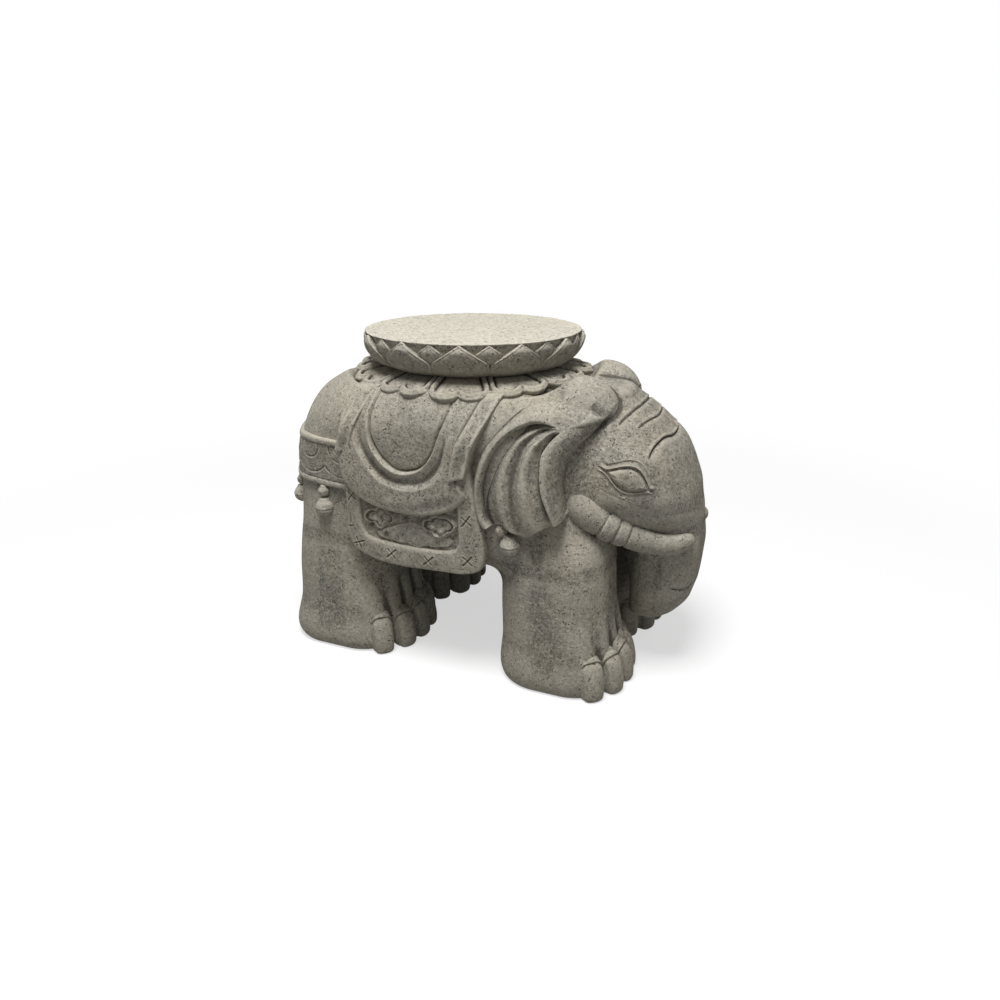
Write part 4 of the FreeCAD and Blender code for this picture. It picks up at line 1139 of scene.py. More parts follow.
# The collar's leaves: each is two circles of a radius, set off to both sides of the leaf's middle line
# at a reach from the seat's axis, with a cusp between them.
LEAF_REACH = 143.0
LEAF_RADIUS = 24.0
LEAF_OFFSET = 18.5
LEAF_CUSP = 15.3
LEAF_HALF = np.pi / 12
COLLAR_INNER = 112.0
COLLAR_WIDE = 48.0
COLLAR_TOP = 20.5
# The collar's rim and the line cut inside it, as height, distance in from the leaf's edge and width,
# and the depth of the gap between two leaves.
COLLAR_RIM = (2.7, 3.8, 3.8)
COLLAR_LINE = (-2.8, 8.6, 1.4)
COLLAR_GAP = 3.6


def bowl(height):
    """Radius of the seat's bowl at a height above its base, eased through the profile."""
    rows = np.asarray(SEAT_PROFILE, float)
    return eased(height, rows[2:, 1], rows[2:, 0])


def seat_shell(detail):
    """The seat: its profile turned round the axis, and a worn top with a soft dished unevenness."""
    rows = np.asarray(SEAT_PROFILE, float)
    low = np.linspace(rows[0], rows[1], 6)
    side = through(rows[1:], np.linspace(0.0, 1.0, int(70 * detail)))
    inward = 149.0 * np.linspace(1.0, 0.01, int(90 * detail))[1:]
    top = np.stack([inward, np.full(len(inward), rows[-1, 1])], axis=-1)
    profile = np.concatenate([low[:-1], side, top])

    def relief(radius, height, turn):
        x, y = radius * np.cos(turn), radius * np.sin(turn)
        upper = step(height, 64.0, 67.0)
        wear = uneven(0.8 * x, 0.8 * y, 0.5) + uneven(3.1 * x, 2.9 * y, 0.22)
        edge = 0.7 * np.sin(7 * turn + 1.0) + 0.5 * np.sin(17 * turn) + 0.4 * np.sin(31 * turn + 2.0)
        near_edge = bump_at(radius, 151.0, 3.0) * step(height, 58.0, 66.0)
        recess = 4.6 * step(height, 34.0, 44.0) * step(height, 65.8, 63.6)
        return radius - recess - 0.3 * near_edge * (1.0 + edge), height + upper * wear - 0.3 * upper

    return turned_shell(profile, (SEAT_X, 0.0, SEAT_Z), int(420 * detail), relief)


def petal_shell(petals, turn, tip, detail):
    """One petal on the bowl: across it a crown of 1 - t^2 to a power, with a thin raised edge.

    A spot at height h and share t across lies at angle centre + t w(h) / r(h) and at radius
    r(h) + base + rise (1 - t^2)^0.6, and the border row is sunk into the bowl.
    """
    base, rise, ridge = petals.form
    up, over = (int(count * detail) for count in petals.points)
    stations = (*petals.stations, tip)
    height = np.linspace(stations[0], tip, up)
    half = eased(height, stations, petals.halves)
    turn_in = np.linspace(-np.pi / 2, np.pi / 2, over)
    share = np.concatenate([[-1.0], np.sin(turn_in) * 0.5 + turn_in / np.pi, [1.0]])
    height = np.concatenate([[height[0]], height, [height[-1]]])
    half = np.concatenate([[half[0]], half, [half[-1]]])
    radius = bowl(height)[:, None] + np.zeros(len(share))
    angle = math.radians(turn) - np.pi / 2 + share[None] * (half / bowl(height))[:, None]
    from_edge = (1.0 - np.abs(share))[None] * half[:, None]
    crown = np.clip(1.0 - share**2, 0.0, 1.0)[None] ** 0.6
    taper = step(height, tip, tip - 9.0)[:, None]
    lift = base - 1.2 * step(height, 54.0, 65.0)[:, None] + rise * crown * (0.25 + 0.75 * taper)
    lift = lift + ridge * bump_at(from_edge, 1.6, 1.3) - 0.8 * ridge * bump_at(from_edge, 4.6, 1.6)
    lift[border_of(lift.shape)] = PETAL_SUNK
    reach = radius + lift
    points = np.stack([
        SEAT_X + reach * np.cos(angle),
        reach * np.sin(angle),
        SEAT_Z + height[:, None] + np.zeros(reach.shape),
    ], axis=-1)
    middle = 0.5 * (stations[0] + tip)
    behind = float(bowl(np.array(middle))) - 12.0
    way = math.radians(turn)
    back = (SEAT_X + behind * math.sin(way), -behind * math.cos(way), SEAT_Z + middle)
    return shell(points, False, [back])


def petal_shells(detail, petals):
    """A ring of twelve petals, each a little different in turn and height."""
    made = []
    for number in range(PETAL_COUNT):
        vary = math.sin(2.4 * number + petals.phase)
        turn = petals.turn + PETAL_PITCH * number + petals.sway * vary
        made.append(petal_shell(petals, turn, petals.tip + petals.reach * vary, detail))
    return made


def leaf_inset(reach, within):
    """How far in from the edge of its two-lobed leaf a place lies, negative outside.

    Each lobe is a circle about a point beside the leaf's middle line.  The other limits are the
    cusp between the lobes and the leaf's straight side.
    """
    across = np.abs(within) * reach
    ahead = reach - LEAF_REACH
    from_arc = LEAF_RADIUS - np.hypot(across - LEAF_OFFSET, ahead)
    from_cusp = np.hypot(across, ahead - LEAF_CUSP)
    behind = LEAF_OFFSET * ahead + LEAF_CUSP * (across - LEAF_OFFSET) < 0.0
    from_side = (LEAF_HALF - np.abs(within)) * reach
    return smooth_least(np.where(behind, from_cusp, from_arc), from_side, 4.0)


def skirt_shell(detail):
    """The lobed collar: a thin plate on the bed, cut into twelve two-lobed leaves.

    The height follows from the distance in from the leaf's edge: a gap between the leaves, a
    rounded rim, an incised line, then a slightly bulging leaf.
    """
    around = int(1320 * detail)
    turn = 2.0 * np.pi * np.arange(around) / around
    place = np.degrees(turn) + 90.0 - PETAL_TURN + 15.0
    within = np.radians(place % PETAL_PITCH - 15.0)
    leaf = np.floor(place / PETAL_PITCH)
    middle_part = step(np.abs(within), LEAF_HALF, 0.2)
    shift = 1.2 * np.sin(2.7 * leaf) * middle_part
    edge = np.full(around, 160.0)
    for _ in range(30):
        aside = np.abs(within) * edge - LEAF_OFFSET
        edge = LEAF_REACH + np.sqrt(np.maximum(LEAF_RADIUS**2 - aside**2, 1.0))
    edge = edge + shift
    near_edge = np.linspace(0.0, 15.0, int(30 * detail))
    inset = np.concatenate([near_edge, np.linspace(17.0, COLLAR_WIDE, int(16 * detail))])
    reach = edge[None] - inset[:, None] * (edge[None] - COLLAR_INNER) / COLLAR_WIDE
    gap = np.maximum(leaf_inset(reach - shift, within[None]), 0.0)
    slope = np.cos(turn) ** 2
    tip = 4.6 + 11.0 * slope**2 + 0.8 * np.sin(3.0 * leaf + 1.0) * middle_part
    high = COLLAR_TOP + (tip - COLLAR_TOP) * np.clip((reach - 116.0) / 52.0, 0.0, 1.0)
    rim = COLLAR_RIM[0] * half_round(gap, *COLLAR_RIM[1:])
    line = ridges(gap, [COLLAR_LINE])
    between = -COLLAR_GAP * step(gap, 1.8, 0.0) * step(edge[None] - reach, 0.0, 4.0)
    leaf_rise = (1.7 * step(gap, 9.0, 18.0) - 0.5) * step(reach, 118.0, 130.0) * step(gap, 6.0, 9.0)
    worn = uneven(reach * np.cos(turn), reach * np.sin(turn), 0.4)
    top = high + rim + line + between + leaf_rise + worn
    rest = top[0]
    bend = np.linspace(0.0, np.pi, 9)[1:-1]
    wall_reach = edge[None] + 2.2 * np.sin(bend)[:, None] - 0.6
    wall_high = (rest - 2.4)[None] + 2.4 * np.cos(bend)[:, None]
    level = np.ones(around)
    under_reach = np.stack([edge - 3.0, edge - 10.0, 142.0 * level, 120.0 * level])
    under_high = np.stack([rest - 9.0, np.minimum(rest - 10.0, 1.0), 3.0 * level, 8.0 * level])
    reach = np.concatenate([reach[::-1], wall_reach, under_reach])
    high = np.concatenate([top[::-1], wall_high, under_high])
    points = np.stack([SEAT_X + reach * np.cos(turn), reach * np.sin(turn), SEAT_Z + high], axis=-1)
    made = shell(points, True, [points[0].mean(axis=0), points[-1].mean(axis=0)])
    # The incised line inside each leaf is darkened through its crevice value: dirt in the line, and painted
    # shade.
    dirt_and_shade = 0.45 * bump_at(gap, COLLAR_LINE[1], 1.5) * step(reach[len(inset) - 1], 100.0, 120.0)
    dirt_and_shade = dirt_and_shade[::-1].ravel()
    made[3][:len(dirt_and_shade)] = np.clip(made[3][:len(dirt_and_shade)] + dirt_and_shade, 0.0, 1.0)
    return made


# Each path goes from the root to the tip, and the radii stand at even shares of its length.
TUSK_PATH = (
    (130, -104, 270), (150, -112, 251), (179, -106, 230), (205, -98, 216), (237, -84, 202), (264, -69, 197),
    (288, -47, 201),
)
TUSK_RADII = (19, 24, 20.5, 17.4, 15.4, 13.4, 9)
# The banded stretch of the tusk, and the cuts before, between and after its two bands.
TUSK_BANDS = (0.335, 0.52)
TUSK_CUTS = (0.337, 0.435, 0.519)
TAIL_PATH = ((-238, 0, 346), (-279, 0, 318), (-289, 0, 256), (-288, 0, 212), (-284, 0, 184), (-278, 0, 152))
TAIL_RADII = (14, 11, 8, 8, 12, 6)
# The large bells' radius in metres, and each bell's X, Y, Z and radius in millimetres.
BELL_RADIUS = 0.013
BELLS = {
    "shoulder_bells": ((64, -164, 220, 8), (76, -166, 202, 13)),
    "crupper_bells": (
        (-206, -161, 236, 8), (-205, -163, 213, 13), (-271, -121, 233, 7.5), (-272, -121, 211, 12.5),
    ),
}
# The right eye: its middle, its turn and dip in degrees, its patch along and across, and its arcs.
EYE_PLACE = (209.0, -107.0, 290.0)
EYE_TURN = 18.4
EYE_DIP = 23.4
EYE_ALONG = (-48.0, 47.0)
EYE_ACROSS = (-28.0, 34.0)
EYE_UPPER, EYE_LOWER = 16.4, 11.6
# Ridges and grooves of the lids outside the arcs, and of the cuticle above the nail: height, place, width.
UPPER_LID = ((3.8, 3.2, 2.1), (-3.2, 7.2, 1.1), (0.9, 10.4, 2.6))
LOWER_LID = ((2.2, 2.2, 1.4), (-1.0, 5.6, 1.8))
CUTICLE = ((2.0, 2.4, 1.7), (-1.8, -0.8, 1.0), (-1.4, 5.6, 1.0))
# The bell's waist line and the lip over it, in shares of the radius: height, place and width.
BELL_WAIST = ((-0.07, -0.08, 0.07), (0.03, 0.1, 0.08))
# The strap round the rump: its lower and upper edge, the axis its rays start from, and its scallops.
BAND_LOW, BAND_HIGH = 244.0, 313.0
BAND_AXIS_X = -163.0
BAND_HEM = 2.4
BAND_PITCH = 58.0
BAND_RINGS = (8.0, 19.0, 40.0)
# A toe: its height, where its top begins to close, and the power of its squarish outline.
TOE_HEIGHT = 61.0
TOE_SHOULDER = 24.0
TOE_SQUARE = 2.5


def tusk_shell(detail):
    """The tusk: round sections along its bend, slowly tapering, with slight flats and three cuts."""

    def relief(share, turn):
        flats = 0.35 * np.sin(3 * turn + 4.0 * share) + 0.25 * np.sin(23.0 * share + 2 * turn)
        cuts = sum(bump_at(share, place, 0.007) for place in TUSK_CUTS)
        return flats - 2.0 * cuts

    return tube(TUSK_PATH, TUSK_RADII, int(64 * detail), int(230 * detail), relief)


def tusk_ring_shell(detail):
    """Two bands round the tusk with a groove before, between and after them."""
    stretch = np.linspace(*TUSK_BANDS, 9)
    path = through(TUSK_PATH, stretch)
    radii = eased(stretch, np.linspace(0.0, 1.0, len(TUSK_RADII)), TUSK_RADII)

    def relief(share, turn):
        first = np.clip((share - 0.03) / 0.50, 0.0, 1.0)
        second = np.clip((share - 0.56) / 0.41, 0.0, 1.0)
        bands = 5.4 * np.sqrt(1.0 - np.abs(2.0 * first - 1.0) ** 5)
        bands = bands + 5.0 * np.sqrt(1.0 - np.abs(2.0 * second - 1.0) ** 5)
        return bands - 3.6 + 0.2 * np.sin(2 * turn)

    return tube(path, radii, int(64 * detail), int(80 * detail), relief, tip=False)


def eye_shell(detail):
    """An almond eye on the face, worked on a patch that is cast onto the skull.

    With s the share from corner to corner, arcs of 16.4 sin(pi s^1.1) above and 11.6 sin(pi s)^1.15
    below bound the ball, which rises as the root of 1 - t^2.  A groove follows the arcs, the lids
    stand round it as rounded lines, and the patch's border is sunk.
    """
    turn, dip = math.radians(EYE_TURN), math.radians(EYE_DIP)
    out = np.array((math.sin(turn), -math.cos(turn), 0.0))
    along = np.array((math.cos(turn) * math.cos(dip), math.sin(turn) * math.cos(dip), -math.sin(dip)))
    across = np.array((math.cos(turn) * math.sin(dip), math.sin(turn) * math.sin(dip), math.cos(dip)))
    u = np.linspace(*EYE_ALONG, int(190 * detail))
    v = np.linspace(*EYE_ACROSS, int(140 * detail))
    u = np.concatenate([[u[0]], u, [u[-1]]])[:, None]
    v = np.concatenate([[v[0]], v, [v[-1]]])[None]
    start = np.array(EYE_PLACE) - 60.0 * out + u[..., None] * along + v[..., None] * across
    way = np.broadcast_to(out, start.shape)
    skin = cast(body_field, start, way, 120.0)
    way_along = np.clip((u + 30.0) / 60.0, 0.0, 1.0)
    above = EYE_UPPER * np.sin(np.pi * way_along**1.1)
    limit = np.where(v > 0, above, EYE_LOWER * np.maximum(np.sin(np.pi * way_along), 0.0) ** 1.15)
    gap = np.abs(v) - limit
    inside = np.clip(np.abs(v) / np.maximum(limit, 0.4), 0.0, 1.0)
    ball = 7.6 * np.sqrt(1.0 - inside**2) * np.clip(limit / 8.0, 0.0, 1.0) ** 0.7 - 1.8 * (gap < 0)
    span = step(np.abs(u + 1.0), 40.0, 31.0)
    lids = np.where(v > 0, ridges(gap, UPPER_LID), ridges(gap, LOWER_LID))
    off_line = step(np.abs(v), 0.0, 1.5)
    lids = lids * off_line + 1.5 * (1.0 - off_line) * (gap > 0)
    groove = -4.6 * bump_at(gap, 0.0, 1.2)
    relief = (ball * (gap < 0) + lids * (gap > 0) + groove) * span
    edge = np.minimum(np.minimum(u - u.min(), u.max() - u), np.minimum(v - v.min(), v.max() - v))
    relief = relief * step(edge, 1.0, 7.0) + 0.35 - 2.6 * step(edge, 6.0, 0.0)
    points = skin + way * relief[..., None]
    points = np.where(border_of(relief.shape)[..., None], skin - way * 5.0, points)
    return shell(points, False, [np.array(EYE_PLACE) - 40.0 * out])


def toe_shell(detail, front, toe, number):
    """One toe: a long round nail that leans back into the foot under the arched band of its cuticle.

    The radius is that of a squarish ellipse in the turn times a profile of the height, which closes at
    the top as the root of 1 - t^4 and rounds in at the floor.  It leans back by 14 (h/61)^2.
    """
    ball = (FRONT_LEG if front else REAR_LEG)[1]
    forward, outward = toe
    centre = np.array((ball[1] + forward * ball[3], ball[2] - outward * ball[4], 0.0))
    facing = math.atan2(-outward / ball[4], forward / ball[3])
    around, rows = int(72 * detail), int(96 * detail)
    share = 0.5 - 0.5 * np.cos(np.linspace(0.0, np.pi, rows))
    height = (0.2 + (TOE_HEIGHT - 0.2) * share)[:, None]
    turn = 2.0 * np.pi * np.arange(around)[None] / around
    face = np.cos(turn)
    over = np.clip((height - TOE_SHOULDER) / 37.2, 0.0, 1.0)
    close = np.sqrt(np.maximum(1.0 - over**4.0, 0.0))
    foot = 1.0 - 0.10 * np.clip((22.0 - height) / 22.0, 0.0, 1.0) ** 2
    floor = np.clip((6.0 - height) / 6.0, 0.0, 1.0)
    size = close * foot * (1.0 - 0.22 * (1.0 - np.sqrt(1.0 - floor**2)))
    line = height - (53.0 - 21.0 * (1.0 - np.clip(face, 0.0, 1.0)) ** 1.6 - 0.5 * (number % 2))
    ahead = step(face, -0.2, 0.3)
    nail = 0.9 * step(line, -1.0, -6.0) * step(face, 0.2, 0.8)
    side_cut = -1.2 * bump_at(np.abs(np.sin(turn)), 0.86, 0.09) * ahead * step(line, 2.0, -4.0)
    relief = (ridges(line, CUTICLE) + nail + side_cut) * ahead * np.clip(close * 1.6, 0.0, 1.0)
    length, width = 18.2 + 0.6 * math.sin(1.7 * number), 16.2 + 0.5 * math.sin(2.3 * number + 1.0)
    reach = (np.abs(np.cos(turn)) / length) ** TOE_SQUARE + (np.abs(np.sin(turn)) / width) ** TOE_SQUARE
    reach = np.maximum(size / reach ** (1.0 / TOE_SQUARE) + relief, 0.05)
    lean = 14.0 * (height / TOE_HEIGHT) ** 2
    points = np.stack([
        centre[0] + reach * np.cos(turn + facing) - lean * math.cos(facing),
        centre[1] + reach * np.sin(turn + facing) - lean * math.sin(facing),
        height + np.zeros(reach.shape),
    ], axis=-1)
    return shell(points, True, [points[0].mean(axis=0), points[-1].mean(axis=0)])


def bell_shell(detail, x, y, z, radius):
    """A bell: a ball turned on an upright axis, with a waist line, a neck above and a sunk mouth."""
    bend = np.linspace(0.04, np.pi - 0.06, int(46 * detail))
    profile = np.stack([radius * np.sin(bend), -radius * np.cos(bend)], axis=-1)

    def relief(wide, height, turn):
        share = height / radius
        waist = ridges(share, BELL_WAIST)
        lump = 0.025 * np.sin(3 * turn + 5 * share) + 0.02 * np.sin(5 * turn - 3 * share + 1.0)
        neck = 0.16 * step(share, 0.78, 0.97)
        mouth = -0.09 * bump_at(share, -0.85, 0.10)
        wide = np.maximum(wide + radius * (waist + lump + neck + mouth), 0.02)
        return wide, height + 0.12 * radius * step(share, 0.7, 1.0)

    return turned_shell(profile, (x, y, z), int(56 * detail), relief)


def band_shell(detail):
    """The strap round the rump: level rays out to it, a rounded rim along each edge, scallops between.

    The scallops are rings cut about points spread evenly along the upper rim.
    """
    near, share, drop, _ = hemmed(int(96 * detail), BAND_HEM)
    height = BAND_LOW + near + share * (BAND_HIGH - BAND_LOW - 2 * BAND_HEM)
    turn = np.linspace(-0.02, np.pi + 0.02, int(560 * detail))
    turn = np.concatenate([[turn[0]], turn, [turn[-1]]])
    way = np.stack([-np.sin(turn), -np.cos(turn), np.zeros(len(turn))], axis=-1)[None]
    start = np.zeros((len(height), len(turn), 3))
    start[..., 0] = BAND_AXIS_X
    start[..., 2] = height[:, None]
    way = np.broadcast_to(way, start.shape)
    skin = cast(body_field, start, way, 240.0)
    ahead = np.linalg.norm(np.gradient(skin[len(height) // 2], axis=0), axis=-1)
    arc = np.cumsum(ahead)
    arc = arc - arc[-1] / 2
    level = height[:, None]
    rim = 2.3 * half_round(level - BAND_LOW, 4.6, 4.4) + 1.9 * half_round(level - BAND_HIGH, -4.6, 4.2)
    plain = step(level, BAND_LOW + 9.0, BAND_LOW + 11.0) * step(level, BAND_HIGH - 10.0, BAND_HIGH - 12.0)
    across = (arc[None] + BAND_PITCH / 2) % BAND_PITCH - BAND_PITCH / 2
    ring = np.hypot(across, level - (BAND_HIGH - 12.0))
    worn = 0.65 + 0.35 * np.sin(0.11 * arc[None] + 0.23 * level)
    cuts = sum(bump_at(ring, size, 1.0) for size in BAND_RINGS)
    ridges = sum(bump_at(ring, size + 2.8, 1.7) for size in BAND_RINGS)
    relief = 3.4 + rim - (1.1 * cuts - 0.5 * ridges) * worn * plain * (ring < 45.0) - drop[:, None]
    relief = relief + uneven(arc[None] + 0.0 * level, level + 0.0 * arc[None], 0.3)
    points = skin + way * np.where(border_of(relief.shape), -4.0, relief)[..., None]
    return shell(points, False, [(-196.0, 0.0, 278.0)])


def tail_shell(detail):
    """The tail: round sections down the rump, ringed lightly, and a tuft cut by long locks."""

    def relief(share, turn):
        locks = 1.6 * np.cos(7 * turn + 9.0 * share) * step(share, 0.66, 0.78) * step(share, 1.0, 0.93)
        return locks + 0.25 * np.sin(60.0 * share) * step(share, 0.66, 0.55)

    return tube(TAIL_PATH, TAIL_RADII, int(72 * detail), int(180 * detail), relief)


# Heights in metres: where the painted shade that darkens the colour towards the bottom ends, and between
# which the seat's top is made paler, by bleaching and by painted light from above.
PAINTED_SHADE_TOP = 0.22
BLEACHED_AND_LIT_TOP = (0.438, 0.449)
# The bright streaks of the drawn steel.
BRIGHT_STEEL = (0.42, 0.42, 0.43)
# How far the cloth's stone is bleached all over.
CLOTH_WORN = 0.26


class Value:
    """A number that varies over a surface.  Sums, differences, products and quotients add Math nodes."""

    def __init__(self, shader, socket):
        self.shader = shader
        self.socket = socket

    def joined(self, operation, first, second):
        made = self.shader.add("ShaderNodeMath", {"operation": operation}, {0: first, 1: second})
        return Value(self.shader, made.outputs[0])

    def __add__(self, other):
        return self.joined("ADD", self, other)

    def __sub__(self, other):
        return self.joined("SUBTRACT", self, other)

    def __mul__(self, other):
        return self.joined("MULTIPLY", self, other)

    def __truediv__(self, other):
        return self.joined("DIVIDE", self, other)


class Nodes:
    """A node tree, emptied first: every node comes from add, and numbers that vary are Values."""

    def __init__(self, tree):
        self.tree = tree
        self.tree.nodes.clear()

    def add(self, kind, settings=None, inputs=None):
        """Add a node of a kind, set its settings, then set or link its sockets."""
        made = self.tree.nodes.new(kind)
        for key, setting in (settings or {}).items():
            setattr(made, key, setting)
        for key, value in (inputs or {}).items():
            socket = made.inputs[key]
            if isinstance(value, Value):
                value = value.socket
            if isinstance(value, bpy.types.NodeSocket):
                self.tree.links.new(value, socket)
            elif socket.type == "RGBA":
                socket.default_value = (*value[:3], 1.0)
            else:
                socket.default_value = value
        return made


class Shader(Nodes):
    """The nodes of a new material, with the textures and mixes that the stone is made of."""

    def __init__(self, name):
        self.material = bpy.data.materials.new(name)
        self.material.use_nodes = True
        super().__init__(self.material.node_tree)
        self.place = self.add("ShaderNodeTexCoord").outputs["Object"]

    def noise(self, size_mm, detail=3.0, rough=0.55, lift=0.0):
        """Smooth noise from 0 to 1 whose blotches are about a size across."""
        made = self.add(
            "ShaderNodeTexNoise",
            {"noise_dimensions": "4D" if lift else "3D"},
            {"Vector": self.place, "Scale": 1000.0 / size_mm, "Detail": detail, "Roughness": rough},
        )
        if lift:
            made.inputs["W"].default_value = lift
        return Value(self, made.outputs["Fac"])

    def cells(self, size_mm):
        """Distance from 0 up to the nearest of points spread about a size apart."""
        made = self.add(
            "ShaderNodeTexVoronoi", {"feature": "F1"}, {"Vector": self.place, "Scale": 1000.0 / size_mm}
        )
        return Value(self, made.outputs["Distance"])

    def attribute(self, name):
        """A number stored on the mesh."""
        made = self.add("ShaderNodeAttribute", {"attribute_name": name})
        return Value(self, made.outputs["Fac"])

    def between(self, value, low, high, start=0.0, end=1.0):
        """Ease a number from a start to an end as it goes from low to high."""
        made = self.add(
            "ShaderNodeMapRange",
            {"interpolation_type": "SMOOTHSTEP", "clamp": True},
            {"Value": value, "From Min": low, "From Max": high, "To Min": start, "To Max": end},
        )
        return Value(self, made.outputs["Result"])

    def mixed(self, share, first, second):
        """Mix two colours, given as three numbers or a socket, by a share."""
        settings = {"data_type": "RGBA", "clamp_factor": True}
        made = self.add("ShaderNodeMix", settings, {0: share, 6: first, 7: second})
        return made.outputs[2]

    def reach(self):
        """Distance from the origin, in metres."""
        made = self.add("ShaderNodeVectorMath", {"operation": "LENGTH"}, {0: self.place})
        return Value(self, made.outputs["Value"])

    def height(self):
        """Height above the ground, in metres."""
        made = self.add("ShaderNodeSeparateXYZ", inputs={"Vector": self.place})
        return Value(self, made.outputs["Z"])

    def finish(self, colour, roughness, bump, bump_mm, metallic=0.0):
        """Put colour, roughness and bump on one plain shader and return the material."""
        heights = {"Height": bump, "Distance": bump_mm * MM, "Strength": 1.0}
        lifted = self.add("ShaderNodeBump", inputs=heights)
        surface = {
            "Base Color": colour,
            "Roughness": roughness,
            "Normal": lifted.outputs["Normal"],
            "Metallic": metallic,
            "Specular IOR Level": 0.25,
        }
        plain = self.add("ShaderNodeBsdfPrincipled", inputs=surface)
        self.add("ShaderNodeOutputMaterial", inputs={"Surface": plain.outputs["BSDF"]})
        return self.material


def stone_material(name, look, pale_top, worn):
    """Weathered stone: mottled tint, sandy grain, dark pits, crevices darkened by dirt and by painted shade,
    painted shade towards the bottom, and rubbed ridges.

    The worn share is how far the whole surface is bleached, and a pale top makes the seat's top paler, by
    bleaching and by painted light from above.
    """
    shader = Shader(name)
    blotch = shader.noise(95.0, 2.0)
    mottle = shader.noise(17.0, 4.0, 0.6, lift=3.0)
    dust = shader.noise(7.0, 3.0, 0.65, lift=9.0)
    grain = shader.noise(3.2, 3.0, 0.75, lift=5.0)
    fine = shader.noise(1.9, 2.0, 0.7, lift=7.0)
    crevice = shader.attribute("crevice")
    colour = shader.mixed(shader.between(blotch, 0.38, 0.62), look.cool, look.warm)
    colour = shader.mixed(shader.between(mottle, 0.35, 0.75, 0.0, 0.5), colour, look.dark)
    colour = shader.mixed(shader.between(dust, 0.42, 0.7, 0.0, 0.4), colour, look.pale)
    # Painted shade: the colour darkens towards the bottom, below a height.
    colour = shader.mixed(shader.between(shader.height(), PAINTED_SHADE_TOP, 0.0, 0.0, 0.4), colour, look.dark)
    colour = shader.mixed(worn, colour, look.pale)
    grains = shader.between(grain, 0.36, 0.66)
    colour = shader.mixed(shader.between(grain, 0.5, 0.66, 0.0, 0.6), colour, look.pale)
    colour = shader.mixed(shader.between(grain, 0.5, 0.35, 0.0, 0.6), colour, look.pit)
    colour = shader.mixed(shader.between(fine, 0.44, 0.31, 0.0, 0.6), colour, look.pit)
    rubbed = shader.between(crevice, 0.47, 0.15)
    colour = shader.mixed(rubbed * 0.36, colour, look.pale)
    # Crevices darken to the pit colour: dirt in the fine crevices, and painted shade in the broad hollows.
    dirt_and_shade = shader.between(crevice, 0.53, 0.95)
    colour = shader.mixed(dirt_and_shade * 0.8, colour, look.pit)
    if pale_top:
        # The seat's top is made paler: bleaching, and painted light from above.
        top = shader.between(shader.height(), *BLEACHED_AND_LIT_TOP)
        colour = shader.mixed(top * shader.between(grain, 0.36, 0.56, 0.3, 0.95), colour, look.top)
    pits = shader.cells(3.6)
    width = shader.between(shader.noise(8.0, 1.0, lift=12.0), 0.4, 0.7, 0.1, 0.4)
    hole = shader.between(pits / width, 1.0, 0.55)
    colour = shader.mixed(hole * 0.85, colour, look.pit)
    bump = grains * 0.6 + fine * 0.5 + dust * 0.6 + mottle * 0.7 - hole * 0.9
    roughness = shader.between(grain, 0.3, 0.7, 0.95, 0.8)
    return shader.finish(colour, roughness, bump, 0.7)


def steel_material(name, look):
    """Drawn steel rod: fine streaks round the rod in roughness and bump."""
    shader = Shader(name)
    streak = shader.noise(2.0, 2.0, lift=1.0)
    colour = shader.mixed(streak, look.steel, BRIGHT_STEEL)
    return shader.finish(colour, shader.between(streak, 0.3, 0.7, 0.25, 0.45), streak, 0.05, metallic=1.0)


# The floor and the background: half width in metres and greys, then the reach where the floor fades.
FLOOR_HALF = 14.0
FLOOR_LIT = (0.30, 0.30, 0.30)
FLOOR_SEEN = (0.38, 0.38, 0.38)
FLOOR_GLOW = 0.60
FLOOR_FADE = (0.5, 1.4)
WHITE = (1.0, 1.0, 1.0)

# The lamps: name, place and width in metres, and the setting of the power.  Both shine at one aim.
LAMPS = (
    ("key_lamp", (0.08, -0.80, 2.80), 1.3, "key"),
    ("fill_lamp", (1.9, -1.9, 0.9), 1.8, "fill"),
)
LAMP_AIM = (0.0, 0.0, 0.2)

# The camera: turn and lift in degrees, reach and aim in millimetres, lens and sensor in millimetres.
CAMERA_TURN = 22.787
CAMERA_LIFT = 20.614
CAMERA_REACH = 1205
CAMERA_AIM = (-7, 0, 189)
CAMERA_LENS = 28.926
CAMERA_SENSOR = 36.0


def seen(nodes):
    """1 where a camera, mirror or glass ray lands, and 0 for the light that falls on the object."""
    path = nodes.add("ShaderNodeLightPath")
    camera, gloss, glass = (
        Value(nodes, path.outputs[name])
        for name in ("Is Camera Ray", "Is Glossy Ray", "Is Transmission Ray")
    )
    return camera.joined("MAXIMUM", camera.joined("MAXIMUM", camera, gloss), glass)


def floor_material():
    """Pale floor that keeps the object's shadow and fades to the white of the background."""
    shader = Shader("pale_floor")
    plain = shader.add("ShaderNodeBsdfDiffuse", inputs={"Color": FLOOR_LIT})
    pale = shader.add("ShaderNodeBsdfDiffuse", inputs={"Color": FLOOR_SEEN})
    glow = shader.add("ShaderNodeEmission", inputs={"Color": WHITE, "Strength": FLOOR_GLOW})
    white = shader.add("ShaderNodeEmission", inputs={"Color": WHITE, "Strength": 1.0})
    near = shader.add("ShaderNodeAddShader", inputs={0: pale.outputs[0], 1: glow.outputs[0]})
    faded = {0: shader.between(shader.reach(), *FLOOR_FADE), 1: near.outputs[0], 2: white.outputs[0]}
    shown = shader.add("ShaderNodeMixShader", inputs=faded)
    either = {0: seen(shader), 1: plain.outputs[0], 2: shown.outputs[0]}
    both = shader.add("ShaderNodeMixShader", inputs=either)
    shader.add("ShaderNodeOutputMaterial", inputs={"Surface": both.outputs[0]})
    return shader.material


